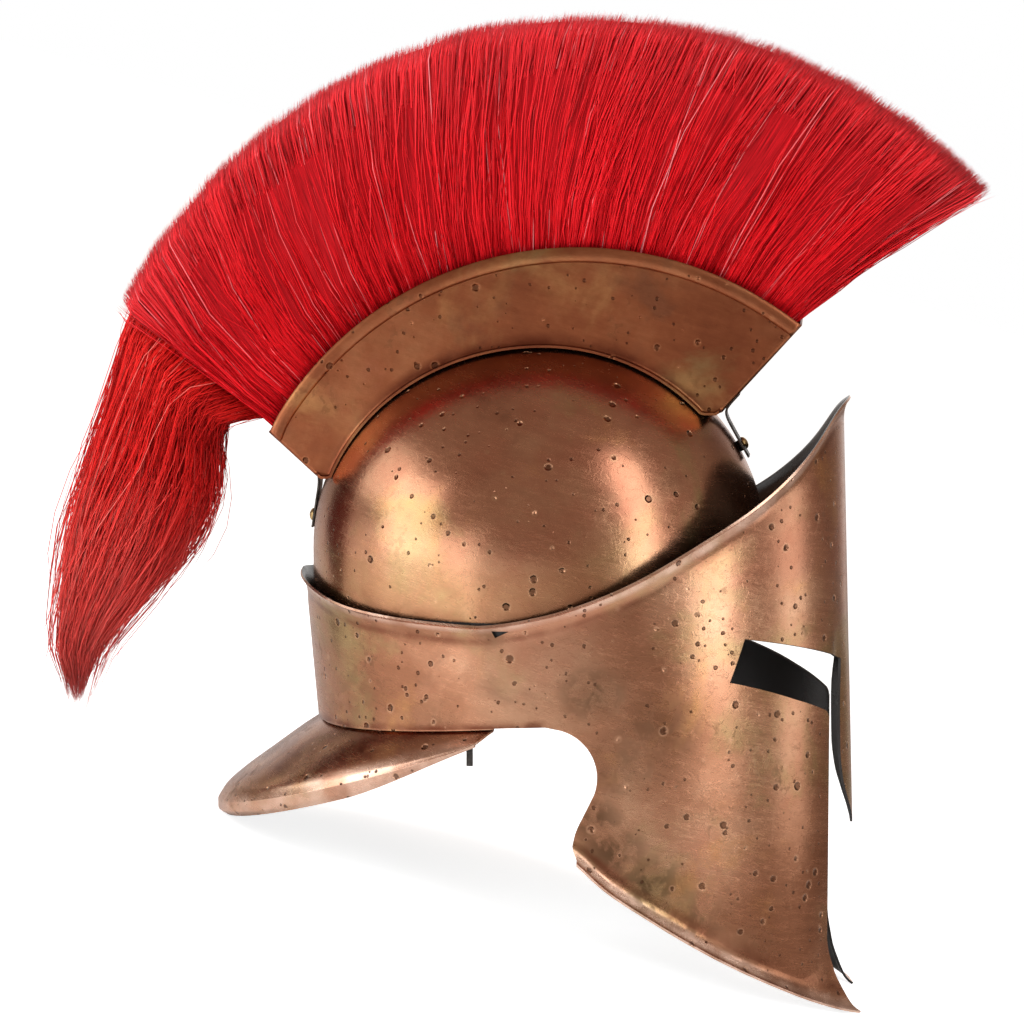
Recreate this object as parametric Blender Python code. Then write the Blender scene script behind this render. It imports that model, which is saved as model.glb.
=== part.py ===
"""Greek helmet of copper-finished sheet steel with a horsehair crest.

The helmet is drawn upright: x to the wearer's left, y to the back, z up, with
the plan's centre at the origin. An empty then leans it back until it rests on
the tips of its cheeks and on the rear edge of its neck guard.
"""

import math

import bmesh
import bpy
from mathutils import Matrix, Vector

MM = 0.001

# Sheet metal and clearances
SHEET = 1.2 * MM
GAP = 0.3 * MM
FLAT_ROOM = 0.4 * MM

# Mask, measured on its outer face
MASK_FRONT = 149.1 * MM
MASK_REAR = 120.4 * MM
MASK_HALF_WIDTH = 99.0 * MM
FRONT_LEAN = 0.030
REAR_LEAN = 0.088
REAR_LEAN_TOP = -22.0 * MM
BROW_TOP = 81.0 * MM
RIM_LOW = -22.8 * MM
RIM_REAR = -7.5 * MM
RIM_ROLL = 0.032
RIM_LIP_HEIGHT = 10.0 * MM
RIM_LIP_FLARE = 3.6 * MM
BAND_BOTTOM_REAR = -80.5 * MM
BAND_BOTTOM_SIDE = -70.5 * MM

# Cheeks and the notch behind them
CHEEK_CORNER = -129.0 * MM
CHEEK_TIP = -224.0 * MM
CHEEK_LIP_HEIGHT = 9.0 * MM
CHEEK_LIP_FLARE = 5.0 * MM
TIP_LIP_HEIGHT = 36.0 * MM
TIP_LIP_FLARE = 12.5 * MM
TIP_TURN = math.radians(26.0)
NOTCH_FRONT = 30.8 * MM
NOTCH_CORNER = 19.4 * MM
NOTCH_MID = -95.0 * MM
NOTCH_ROUND = 24.0 * MM
NOTCH_START = -6.0 * MM
NOTCH_TURN = (100, 200)

# Face opening, as seen from the front
EYE_OUTER_TOP = (73.5 * MM, -30.3 * MM)
EYE_OUTER_LOW = (77.6 * MM, -51.0 * MM)
EYE_INNER_TOP = -47.2 * MM
EYE_INNER_LOW = -69.5 * MM
EYE_CORNER = 5.0 * MM
FACE_HALF_GAP = 34.4 * MM
TIP_HALF_GAP = 29.8 * MM
NASAL_HALF_WIDTH = 21.5 * MM
NASAL_TIP = -133.0 * MM
NASAL_RADIUS = 31.0 * MM
NASAL_TWIST = 0.08

# Slot left in the sheet below the rim's lowest point
SLOT_LENGTH = 8.5 * MM
SLOT_HEIGHT = 3.4 * MM
SLOT_DROP = 1.8 * MM
SLOT_PLACE = 15.5 * MM

# Skull
SKULL_FRONT = 108.6 * MM
SKULL_HEIGHT = 103.8 * MM
SKULL_EQUATOR = 5.0 * MM
SKULL_BOTTOM = -34.0 * MM

# Neck guard
GUARD_REACH = 51.5 * MM
GUARD_FRONT = 20.0 * MM
GUARD_SIDE_REACH = 3.5 * MM
GUARD_SWING = math.radians(87.0)
GUARD_STEPS = 35
GUARD_DROP_REAR = 43.5 * MM
GUARD_DROP_END = 4.0 * MM
GUARD_DROP_POWER = 0.85
GUARD_LIP = 6.8 * MM
GUARD_LIP_START = 0.68
GUARD_LIP_END = 0.15
GUARD_FLANGE = 8.0 * MM

# Crest box that stands on the skull. Its lower corners lie in from the skull's
# rear and front and above its ridge; the upper ones lie out and up from them.
BOX_HALF_WIDTH = 25.0 * MM
BOX_REAR_INSET = 3.84 * MM
BOX_REAR_LIFT = 10.16 * MM
BOX_REAR_RISE = (23.5 * MM, 21.5 * MM)
BOX_FRONT_INSET = 21.2 * MM
BOX_FRONT_LIFT = 7.89 * MM
BOX_FRONT_RISE = (-38.7 * MM, 42.8 * MM)
BOX_CROWN_RISE = 46.2 * MM
BOX_CROWN_PLACE = 0.55
BOX_SPREAD = 2.3
BOX_STEPS = 26
BOX_FOOT = 2.6 * MM
BEAD_HEIGHT = 7.5 * MM
BEAD_PROUD = 1.8 * MM

# Brackets that tie the box to the skull
BRACKET_WIDTH = 14.0 * MM
BRACKET_SHEET = 1.0 * MM
BRACKET_LEG = 11.0 * MM
FRONT_FOOT_DROP = (13.0 * MM, 25.0 * MM)
REAR_FOOT_DROP = (16.5 * MM, 28.0 * MM)
NUT_THICKNESS = 1.3 * MM
NUT_RADIUS = 3.2 * MM
SHANK_RADIUS = 1.5 * MM
HEAD_RADIUS = 3.2 * MM
HEAD_HEIGHT = 2.2 * MM
SHANK_INSIDE = 3.0 * MM
HOLE_REACH = 20.0 * MM

# Hair. The fan's places are pairs: back, and up from the skull's crown.
FAN_RADIUS = 266.5 * MM
FAN_CENTRE = (-22.0 * MM, -106.0 * MM)
FAN_REAR_TIP = (207.5 * MM, 31.2 * MM)
FAN_FRONT_TIP = (-207.0 * MM, 72.2 * MM)
FAN_HALF_WIDTH = 31.0 * MM
FAN_LOCKS = 26
LOCK_NOTCH = 3.5 * MM
LOCK_DENT = 0.10
BACKING_LIFT = 6.0 * MM
PLUME_END_ROOM = 3.6 * MM
PLUME_END_SHARE = 0.04
TAIL_DROP = 140.0 * MM
TAIL_ROOT_INSET = 4.5 * MM
TAIL_ROOT_HALF_THICKNESS = 15.0 * MM
TAIL_HALF_THICKNESS = 24.0 * MM
TAIL_LOCKS = 5
TAIL_PARTING = 0.86

# Lace ends that hang inside the band
LACE_PLACE = 31.0 * MM
LACE_WIDTH = 3.0 * MM
LACE_THICKNESS = 2.0 * MM
LACE_TOP = -58.0 * MM
LACE_BOTTOM = -91.0 * MM

# Rim height by turn from the front, in degrees, as a share of the brow's rise
RIM_FRONT = [
    # turn, share
    (0, 1.0),
    (12, 0.965),
    (18, 0.915),
    (25, 0.810),
    (33, 0.690),
    (45, 0.522),
    (58, 0.365),
    (74, 0.170),
    (90, 0.040),
    (101, 0.0),
]

# The same behind the lowest point, as a share of the rear's rise
RIM_BACK = [
    # turn, share
    (101, 0.0),
    (123, 0.12),
    (141, 0.30),
    (160, 0.72),
    (180, 1.0),
]

# Lower edge of the cheek by turn, as a share of the drop from corner to tip
CHEEK_EDGE = [
    # turn, share
    (13, 1.0),
    (20, 0.953),
    (31, 0.862),
    (43, 0.738),
    (53, 0.612),
    (62, 0.475),
    (70, 0.335),
    (78, 0.180),
    (84, 0.0),
]

# Section of a rolled lip: share of its height, share of its flare
LIP_SECTION = [(1.0, 0.0), (0.62, 0.14), (0.28, 0.50), (0.0, 1.0)]

# Nasal outline: share of its length from the top, share of its half width
NASAL_OUTLINE = [
    (0.0, 0.92),
    (0.10, 0.90),
    (0.21, 0.91),
    (0.35, 0.93),
    (0.54, 0.94),
    (0.70, 0.86),
    (0.85, 0.58),
    (0.94, 0.27),
]

# Neck guard section: share of the reach, of the plate's drop and of the lip's
GUARD_SECTION = [
    # out, plate, lip
    (0.0, 0.0, 0.0),
    (0.18, 0.14, 0.0),
    (0.50, 0.43, 0.0),
    (0.79, 0.70, 0.0),
    (0.93, 0.86, 0.0),
    (1.0, 1.0, 0.0),
    (1.0, 1.0, 0.6),
    (0.93, 1.0, 1.0),
]

# Tail sections, as shares of its drop: back and down from the box's rear top
# corner, half width of the section, its lean from level, share of thickness
TAIL_SECTIONS = [
    # back, down, half width, lean in degrees, thickness
    (0.345, -0.195, 0.259, 42, 0.95),
    (0.390, -0.075, 0.214, 30, 1.00),
    (0.427, 0.111, 0.229, 20, 1.00),
    (0.485, 0.273, 0.227, 11, 0.98),
    (0.545, 0.441, 0.199, 8, 0.88),
    (0.619, 0.596, 0.152, 2, 0.70),
    (0.694, 0.749, 0.096, -5, 0.48),
    (0.734, 0.873, 0.045, -7, 0.28),
]

COPPER = ("copper", (0.34, 0.16, 0.10), 1.0, 0.32)
BRASS = ("brass", (0.55, 0.38, 0.16), 1.0, 0.30)
DARK_STEEL = ("dark_steel", (0.05, 0.05, 0.05), 0.9, 0.45)
HAIR = ("hair", (0.55, 0.01, 0.02), 0.0, 0.55)
TAIL_HAIR = ("tail_hair", (0.42, 0.01, 0.01), 0.0, 0.60)
LEATHER = ("leather", (0.04, 0.035, 0.03), 0.0, 0.70)


def clear_scene():
    for old in list(bpy.data.objects):
        bpy.data.objects.remove(old, do_unlink=True)


def material(finish):
    name, colour, metallic, roughness = finish
    found = bpy.data.materials.get(name)
    if found:
        return found
    made = bpy.data.materials.new(name)
    made.use_nodes = True
    shader = made.node_tree.nodes["Principled BSDF"]
    shader.inputs["Base Color"].default_value = (*colour, 1.0)
    shader.inputs["Metallic"].default_value = metallic
    shader.inputs["Roughness"].default_value = roughness
    return made


def read_table(table, place):
    """Value of a two-column table at a place, on straight lines between its rows."""
    if place <= table[0][0]:
        return table[0][1]
    for (low, first), (high, last) in zip(table, table[1:]):
        if place <= high:
            share = (place - low) / (high - low)
            return first + (last - first) * share
    return table[-1][1]


def smooth_table(table, place, reach):
    """Mean of the table around a place, which rounds its corners."""
    steps = (-1.0, -0.5, 0.0, 0.5, 1.0)
    return sum(read_table(table, place + step * reach) for step in steps) / len(steps)


def ramp(low, high, value):
    share = min(1.0, max(0.0, (value - low) / (high - low)))
    return share * share * (3.0 - 2.0 * share)


def mix(first, last, share):
    return first + (last - first) * share


def sheet_grid(columns, closed):
    """Faces between neighbouring columns of points, one column after the other."""
    rows = len(columns[0])
    points = [point for column in columns for point in column]
    faces = []
    last = len(columns) if closed else len(columns) - 1
    for here in range(last):
        there = (here + 1) % len(columns)
        for row in range(rows - 1):
            a = here * rows + row
            b = there * rows + row
            faces.append((a, b, b + 1, a + 1))
    return points, faces


def face_outwards(body, inside):
    """Turn all faces to one side, away from a point inside the shell."""
    bmesh.ops.recalc_face_normals(body, faces=body.faces)
    away = 0.0
    for face in body.faces:
        away += face.calc_area() * face.normal.dot(face.calc_center_median() - inside)
    if away < 0.0:
        bmesh.ops.reverse_faces(body, faces=body.faces)


def make_object(name, points, faces, finish, parent, inside=None):
    mesh = bpy.data.meshes.new(name)
    mesh.from_pydata([tuple(point) for point in points], [], faces)
    body = bmesh.new()
    body.from_mesh(mesh)
    if inside is None:
        bmesh.ops.recalc_face_normals(body, faces=body.faces)
    else:
        face_outwards(body, inside)
    body.to_mesh(mesh)
    body.free()
    mesh.validate()
    made = bpy.data.objects.new(name, mesh)
    bpy.context.scene.collection.objects.link(made)
    mesh.materials.append(material(finish))
    made.parent = parent
    mesh.shade_smooth()
    mesh.set_sharp_from_angle(angle=math.radians(35))
    return made


def thicken(made, thickness, side):
    wall = made.modifiers.new("Wall", "SOLIDIFY")
    wall.thickness = thickness
    wall.offset = side
    wall.use_even_offset = True
    return wall


def triangulate(made):
    made.modifiers.new("Flat faces", "TRIANGULATE")


def cut(made, cutter):
    hole = made.modifiers.new(cutter.name, "BOOLEAN")
    hole.operation = "DIFFERENCE"
    hole.solver = "EXACT"
    hole.object = cutter


def prism(name, outline, start, end, place, parent):
    """Closed cutter: an outline of (across, up) pairs pushed from start to end."""
    count = len(outline)
    points = [place(across, up, start) for across, up in outline]
    points += [place(across, up, end) for across, up in outline]
    faces = [tuple(range(count)), tuple(range(2 * count - 1, count - 1, -1))]
    for here in range(count):
        there = (here + 1) % count
        faces.append((there, here, count + here, count + there))
    made = make_object(name, points, faces, DARK_STEEL, parent)
    made.hide_render = True
    made.display_type = "WIRE"
    return made


def side_view(across, up, depth):
    return Vector((depth, across, up))


def front_view(across, up, depth):
    return Vector((across, depth, up))


def arc(centre, radius, start, end, steps):
    """Points of an arc, with its angles in degrees."""
    points = []
    for step in range(steps + 1):
        angle = math.radians(mix(start, end, step / steps))
        points.append((
            centre[0] + radius * math.cos(angle),
            centre[1] + radius * math.sin(angle),
        ))
    return points


def rim_height(turn):
    """Height of the mask's upper edge at a turn from the front."""
    degrees = math.degrees(abs(turn))
    if degrees <= RIM_FRONT[-1][0]:
        height = mix(RIM_LOW, BROW_TOP, smooth_table(RIM_FRONT, degrees, 4.0))
    else:
        height = mix(RIM_LOW, RIM_REAR, smooth_table(RIM_BACK, degrees, 5.0))
    across = MASK_HALF_WIDTH * math.sin(turn)
    droop = RIM_ROLL * across * ramp(0.0, 1.0, math.cos(turn))
    return height - droop


def cheek_height(turn):
    """Height of the cheek's lower edge at a turn from the front."""
    degrees = math.degrees(abs(turn))
    return mix(CHEEK_CORNER, CHEEK_TIP, smooth_table(CHEEK_EDGE, degrees, 3.0))


def mask_reach(turn, height):
    """Length of the plan's half, from its centre to the front or the rear."""
    if math.cos(turn) > 0:
        return MASK_FRONT - FRONT_LEAN * max(height, EYE_INNER_TOP)
    return MASK_REAR - REAR_LEAN * max(0.0, REAR_LEAN_TOP - height)


def mask_point(turn, height, flare=0.0):
    """Point of the mask's outer face, pushed out by a flare."""
    reach = mask_reach(turn, height)
    across = MASK_HALF_WIDTH * math.sin(turn)
    ahead = reach * math.cos(turn)
    outward = Vector((across / MASK_HALF_WIDTH ** 2, -ahead / reach ** 2, 0.0)).normalized()
    point = Vector((across, -ahead, height)) + outward * flare
    if ahead > 0.0:
        point.y += nose_bend(across, height)
    return point


def nose_bend(across, height):
    """How far the nasal bends back from the mask's own curve."""
    if height > EYE_INNER_TOP + NASAL_HALF_WIDTH:
        return 0.0
    plan_radius = MASK_HALF_WIDTH ** 2 / MASK_FRONT
    narrow = min(abs(across), NASAL_HALF_WIDTH * 1.15)
    bend = narrow ** 2 / 2.0 * (1.0 / NASAL_RADIUS - 1.0 / plan_radius)
    twist = NASAL_TWIST * math.copysign(narrow, across)
    sink = ramp(EYE_INNER_TOP + NASAL_HALF_WIDTH, EYE_INNER_TOP - NASAL_HALF_WIDTH, height)
    fade = 1.0 - ramp(NASAL_HALF_WIDTH * 1.15, FACE_HALF_GAP * 0.97, abs(across))
    forward = FRONT_LEAN * max(0.0, EYE_INNER_TOP - height)
    return (bend + twist) * sink * fade - forward * fade


def mask_turns():
    """Turns of the mask's columns, closer together at the front."""
    half = [4.0 * step for step in range(8)]
    half += [34.0 + 6.0 * step for step in range(12)]
    half += [108.0 + 8.0 * step for step in range(9)]
    right = [-turn for turn in reversed(half[1:])]
    return [math.radians(turn) for turn in right + half + [180.0]]


def mask_column(turn):
    top = rim_height(turn)
    low = cheek_height(turn)
    near_tip = 1.0 - ramp(TIP_TURN * 0.45, TIP_TURN * 1.3, abs(turn))
    lip_height = mix(CHEEK_LIP_HEIGHT, TIP_LIP_HEIGHT, near_tip)
    lip_flare = mix(CHEEK_LIP_FLARE, TIP_LIP_FLARE, near_tip)
    column = []
    for share, flare in reversed(LIP_SECTION):
        column.append(mask_point(turn, top - RIM_LIP_HEIGHT * share, RIM_LIP_FLARE * flare))
    wall_top = top - RIM_LIP_HEIGHT
    wall_low = low + lip_height
    steps = 8
    for step in range(1, steps):
        column.append(mask_point(turn, mix(wall_top, wall_low, step / steps)))
    for share, flare in LIP_SECTION:
        column.append(mask_point(turn, low + lip_height * share, lip_flare * flare))
    return column


def band_bottom(turn):
    """Height of the band's lower edge behind the notch."""
    back = max(0.0, -math.cos(turn))
    return mix(BAND_BOTTOM_SIDE, BAND_BOTTOM_REAR, back ** 1.2)


def notch_outline():
    """What is cut away below the band and behind the cheek, seen from the side."""
    far = 2.0 * MASK_REAR
    outline = []
    for degrees in (180, 165, 150, 135, 122, 110, 100, 94):
        turn = math.radians(degrees)
        outline.append((-MASK_REAR * math.cos(turn), band_bottom(turn)))
    outline[0] = (far, outline[0][1])
    outline.append((NOTCH_START, BAND_BOTTOM_SIDE))
    outline += arc((-NOTCH_FRONT + NOTCH_ROUND, NOTCH_MID), NOTCH_ROUND, *NOTCH_TURN, 8)[1:]
    outline += [
        (-mix(NOTCH_CORNER, NOTCH_FRONT, 0.50), mix(CHEEK_CORNER, NOTCH_MID, 0.50)),
        (-mix(NOTCH_CORNER, NOTCH_FRONT, 0.12), mix(CHEEK_CORNER, NOTCH_MID, 0.25)),
        (-NOTCH_CORNER, mix(CHEEK_CORNER, NOTCH_MID, 0.08)),
        (-NOTCH_CORNER * 0.98, CHEEK_CORNER),
        (-NOTCH_CORNER * 1.10, CHEEK_CORNER - CHEEK_LIP_HEIGHT * 0.6),
        (-NOTCH_CORNER * 1.10, 2.0 * CHEEK_TIP),
        (far, 2.0 * CHEEK_TIP),
    ]
    return outline


def half_face_outline():
    """Right half of the face opening: nasal edge, eye, then the cheek's edge."""
    length = EYE_INNER_TOP - NASAL_TIP
    nasal = []
    for share, width in reversed(NASAL_OUTLINE):
        nasal.append((NASAL_HALF_WIDTH * width, EYE_INNER_TOP - length * share))
    eye = [EYE_OUTER_TOP, EYE_OUTER_LOW]
    eye.append((mix(EYE_OUTER_LOW[0], FACE_HALF_GAP, 0.5), mix(EYE_OUTER_LOW[1], EYE_INNER_LOW, 0.60)))
    eye.append((FACE_HALF_GAP + EYE_CORNER, EYE_INNER_LOW))
    eye.append((FACE_HALF_GAP + EYE_CORNER * 0.3, EYE_INNER_LOW - EYE_CORNER * 0.3))
    eye.append((FACE_HALF_GAP, EYE_INNER_LOW - EYE_CORNER))
    tip_start = mix(EYE_INNER_LOW, CHEEK_TIP, 0.75)
    cheek = [(FACE_HALF_GAP, tip_start), (TIP_HALF_GAP, CHEEK_TIP + TIP_LIP_HEIGHT * 0.4)]
    cheek.append((TIP_HALF_GAP * 0.9, 2.0 * CHEEK_TIP))
    return nasal + eye + cheek


def face_outline():
    right = half_face_outline()
    left = [(-across, up) for across, up in reversed(right)]
    return [(0.0, NASAL_TIP)] + right + left


def slot_outline():
    top = rim_height(math.radians(RIM_FRONT[-1][0])) - SLOT_DROP
    return [
        (SLOT_PLACE - SLOT_LENGTH / 2, top),
        (SLOT_PLACE + SLOT_LENGTH / 2, top),
        (SLOT_PLACE + SLOT_LENGTH * 0.3, top - SLOT_HEIGHT),
    ]


def make_mask(pose):
    columns = [mask_column(turn) for turn in mask_turns()]
    points, faces = sheet_grid(columns, closed=True)
    mask = make_object("mask", points, faces, COPPER, pose, Vector())
    thicken(mask, SHEET, -1.0)
    triangulate(mask)
    wide = 2.0 * MASK_HALF_WIDTH
    notch = prism("notch_cutter", notch_outline(), -wide, wide, side_view, pose)
    face_depth = (-2.0 * MASK_FRONT, -0.5 * MASK_FRONT)
    face = prism("face_cutter", face_outline(), *face_depth, front_view, pose)
    slots = prism("slot_cutter", slot_outline(), -wide, wide, side_view, pose)
    for cutter in (notch, face, slots):
        cut(mask, cutter)
    return mask


def skull_rear():
    """Rear of the skull, seated inside the band at its own lower edge."""
    return mask_reach(math.pi, SKULL_BOTTOM) - SHEET - GAP - FLAT_ROOM


def skull_half_width():
    return MASK_HALF_WIDTH - SHEET - GAP - FLAT_ROOM


def skull_top(ahead, across):
    """Height of the skull's outer face over a point of the plan."""
    reach = SKULL_FRONT if ahead < 0 else skull_rear()
    left = 1.0 - (ahead / reach) ** 2 - (across / skull_half_width()) ** 2
    return SKULL_EQUATOR + SKULL_HEIGHT * math.sqrt(max(0.0, left))


def skull_edge(height):
    """How far the skull's ridge stands ahead (front) and behind at a height."""
    level = (height - SKULL_EQUATOR) / SKULL_HEIGHT
    share = math.sqrt(max(0.0, 1.0 - level ** 2))
    return SKULL_FRONT * share, skull_rear() * share


def make_skull(pose):
    around = 44
    rows = [(1.0, SKULL_BOTTOM), (1.0, SKULL_EQUATOR)]
    for degrees in (14, 27, 39, 50, 60, 69, 77, 84):
        angle = math.radians(degrees)
        rows.append((math.cos(angle), SKULL_EQUATOR + SKULL_HEIGHT * math.sin(angle)))
    columns = []
    for step in range(around):
        turn = math.tau * (step + 0.5) / around
        reach = SKULL_FRONT if math.cos(turn) > 0 else skull_rear()
        columns.append([
            Vector((skull_half_width() * share * math.sin(turn), -reach * share * math.cos(turn), height))
            for share, height in rows
        ])
    points, faces = sheet_grid(columns, closed=True)
    apex = len(points)
    points.append(Vector((0.0, 0.0, SKULL_EQUATOR + SKULL_HEIGHT)))
    for step in range(around):
        here = step * len(rows) + len(rows) - 1
        there = ((step + 1) % around) * len(rows) + len(rows) - 1
        faces.append((here, there, apex))
    skull = make_object("skull", points, faces, COPPER, pose, Vector())
    thicken(skull, SHEET, -1.0)
    triangulate(skull)
    for hole in (front_fastener_hole(pose), rear_fastener_hole(pose)):
        cut(skull, hole)
    return skull


def make_neck_guard(pose):
    steps = GUARD_STEPS
    band_end = math.pi - math.acos(GUARD_FRONT / MASK_REAR)
    inset = SHEET + GAP + FLAT_ROOM
    columns = []
    for step in range(steps + 1):
        share = 2.0 * step / steps - 1.0
        turn = math.pi - share * (math.pi - band_end)
        height = band_bottom(turn)
        seat = mask_point(turn, height, -inset)
        swing = share * GUARD_SWING
        rear = mask_reach(math.pi, BAND_BOTTOM_REAR) + GUARD_REACH
        rim = Vector((
            (MASK_HALF_WIDTH + GUARD_SIDE_REACH) * math.sin(swing),
            mix(GUARD_FRONT, rear, math.cos(swing)),
            0.0,
        ))
        drop = mix(GUARD_DROP_END, GUARD_DROP_REAR, math.cos(swing) ** GUARD_DROP_POWER)
        rim.z = height - drop
        column = [seat + Vector((0.0, 0.0, GUARD_FLANGE))]
        below = seat.z - GAP - FLAT_ROOM
        lip_height = GUARD_LIP * mix(1.0, GUARD_LIP_END, ramp(GUARD_LIP_START, 1.0, abs(share)))
        for out, down, lip in GUARD_SECTION:
            column.append(Vector((
                mix(seat.x, rim.x, out),
                mix(seat.y, rim.y, out),
                mix(below, rim.z, down) - lip_height * lip,
            )))
        columns.append(column)
    points, faces = sheet_grid(columns, closed=False)
    guard = make_object("neck_guard", points, faces, COPPER, pose, Vector((0.0, 0.0, CHEEK_TIP)))
    thicken(guard, SHEET, -1.0)
    triangulate(guard)
    return guard


def circle_through(first, middle, last):
    """Centre and radius of the circle through three points of the mid-plane."""
    (ax, ay), (bx, by), (cx, cy) = first, middle, last
    twice = 2.0 * (ax * (by - cy) + bx * (cy - ay) + cx * (ay - by))
    a2, b2, c2 = ax * ax + ay * ay, bx * bx + by * by, cx * cx + cy * cy
    x = (a2 * (by - cy) + b2 * (cy - ay) + c2 * (ay - by)) / twice
    y = (a2 * (cx - bx) + b2 * (ax - cx) + c2 * (bx - ax)) / twice
    return (x, y), math.hypot(ax - x, ay - y)


def skull_crown():
    return SKULL_EQUATOR + SKULL_HEIGHT


def box_rear_low():
    back = skull_rear() - BOX_REAR_INSET
    return back, skull_top(back, 0.0) + BOX_REAR_LIFT


def box_rear_top():
    back, up = box_rear_low()
    return back + BOX_REAR_RISE[0], up + BOX_REAR_RISE[1]


def box_front_low():
    back = BOX_FRONT_INSET - SKULL_FRONT
    return back, skull_top(back, 0.0) + BOX_FRONT_LIFT


def box_front_top():
    back, up = box_front_low()
    return back + BOX_FRONT_RISE[0], up + BOX_FRONT_RISE[1]


def box_top(share):
    """Point of the crest box's upper edge, from its rear (0) to its front (1)."""
    rear, front = box_rear_top(), box_front_top()
    crown = (mix(rear[0], front[0], BOX_CROWN_PLACE), skull_crown() + BOX_CROWN_RISE)
    centre, radius = circle_through(rear, crown, front)
    start = math.atan2(rear[1] - centre[1], rear[0] - centre[0])
    end = math.atan2(front[1] - centre[1], front[0] - centre[0])
    angle = mix(start, end, share)
    return centre[0] + radius * math.cos(angle), centre[1] + radius * math.sin(angle)


def box_low(share):
    """Point of its lower edge, which sits on the skull between its two ends."""
    rear, front = box_rear_low(), box_front_low()
    place = 0.5 + 0.5 * math.sin(BOX_SPREAD * (share - 0.5)) / math.sin(BOX_SPREAD / 2.0)
    back = mix(rear[0], front[0], place)
    corner = rear[1] if back > 0 else front[1]
    return back, max(skull_top(back, BOX_HALF_WIDTH) + SHEET + GAP + FLAT_ROOM, corner)


def box_column(share, side):
    low = Vector((0.0, *box_low(share)))
    top = Vector((0.0, *box_top(share)))
    up = (top - low).normalized()
    wall = Vector((side * BOX_HALF_WIDTH, 0.0, 0.0))
    out = Vector((float(side), 0.0, 0.0))
    return [
        low + wall + out * BOX_FOOT,
        low + wall + up * BOX_FOOT * 0.2,
        mix(low, top, 0.45) + wall,
        top - up * BEAD_HEIGHT + wall,
        top - up * BEAD_HEIGHT * 0.75 + wall + out * BEAD_PROUD,
        top - up * BEAD_HEIGHT * 0.2 + wall + out * BEAD_PROUD,
        top + wall + out * BEAD_PROUD * 0.3,
    ]


def make_crest_box(pose):
    steps = BOX_STEPS
    left = [box_column(step / steps, 1) for step in range(steps + 1)]
    right = [box_column(1.0 - step / steps, -1) for step in range(steps + 1)]
    points, faces = sheet_grid(left + right, closed=True)
    box_middle = Vector((0.0, 0.0, skull_crown() + BOX_CROWN_RISE / 2.0))
    box = make_object("crest_box", points, faces, COPPER, pose, box_middle)
    thicken(box, SHEET, -1.0)
    triangulate(box)
    return box


def end_direction(low, top):
    """Direction up an end of the box, and the direction out from it."""
    up = Vector((0.0, top[0] - low[0], top[1] - low[1])).normalized()
    out = Vector((0.0, up.z, -up.y))
    if out.y * low[0] < 0:
        out = -out
    return up, out


def front_clearance():
    """Room for the nut between the front bracket's foot and the skull."""
    return NUT_THICKNESS + 2.0 * GAP


def foot_points(heights, side, clearance):
    """Points of the bracket's foot, a clearance off the skull at these heights."""
    points = []
    for height in heights:
        ahead, behind = skull_edge(height)
        place = -ahead if side < 0 else behind
        level = (height - SKULL_EQUATOR) / SKULL_HEIGHT ** 2
        out = Vector((0.0, place / (ahead if side < 0 else behind) ** 2, level)).normalized()
        points.append(Vector((0.0, place, height)) + out * clearance)
    return points


def bracket_path(low, top, foot, clearance):
    side = -1 if low[0] < 0 else 1
    up, out = end_direction(low, top)
    corner = Vector((0.0, *low)) + out * GAP
    path = [corner + up * BRACKET_LEG, corner + up * BRACKET_LEG * 0.2]
    feet = foot_points(foot, side, clearance)
    bend = corner - up * SHEET
    path.append(bend.lerp(feet[0], 0.12) + out * GAP)
    return path + feet


def make_bracket(name, path, pose):
    half = BRACKET_WIDTH / 2.0
    columns = [[point + Vector((side * half, 0.0, 0.0)) for point in path] for side in (-1, 1)]
    points, faces = sheet_grid(columns, closed=False)
    bracket = make_object(name, points, faces, DARK_STEEL, pose, Vector())
    thicken(bracket, BRACKET_SHEET, 1.0)
    triangulate(bracket)
    return bracket


def fastener_frame(path):
    """Centre of a bracket's foot on its inner face, and the way out of the skull."""
    centre = path[-1].lerp(path[-2], 0.5)
    along = (path[-1] - path[-2]).normalized()
    out = Vector((0.0, -along.z, along.y))
    if out.y * centre.y < 0:
        out = -out
    return centre, out


def turned(name, profile, centre, out, sides, finish, pose):
    """Body turned about the axis through a centre: (radius, distance out) rows."""
    across = Vector((1.0, 0.0, 0.0))
    up = out.cross(across)
    columns = []
    for step in range(sides):
        angle = math.tau * step / sides
        spoke = across * math.cos(angle) + up * math.sin(angle)
        columns.append([centre + spoke * radius + out * away for radius, away in profile[1:-1]])
    points, faces = sheet_grid(columns, closed=True)
    rows = len(columns[0])
    for row, (radius, away) in ((0, profile[0]), (rows - 1, profile[-1])):
        tip = len(points)
        points.append(centre + out * away)
        for step in range(sides):
            faces.append((step * rows + row, ((step + 1) % sides) * rows + row, tip))
    return make_object(name, points, faces, finish, pose)


def ring(name, inner, outer, near, far, centre, out, sides, finish, pose):
    across = Vector((1.0, 0.0, 0.0))
    up = out.cross(across)
    columns = []
    for step in range(sides):
        angle = math.tau * step / sides
        spoke = across * math.cos(angle) + up * math.sin(angle)
        corners = [(inner, near), (outer, near), (outer, far), (inner, far)]
        columns.append([centre + spoke * radius + out * away for radius, away in corners])
    points, faces = sheet_grid(columns, closed=True)
    for step in range(sides):
        there = (step + 1) % sides
        faces.append((step * 4 + 3, there * 4 + 3, there * 4, step * 4))
    return make_object(name, points, faces, finish, pose)


def front_path():
    low = box_front_low()
    feet = [low[1] - drop for drop in FRONT_FOOT_DROP]
    return bracket_path(low, box_front_top(), feet, front_clearance())


def rear_path():
    low = box_rear_low()
    feet = [low[1] - drop for drop in REAR_FOOT_DROP]
    return bracket_path(low, box_rear_top(), feet, GAP)


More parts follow.
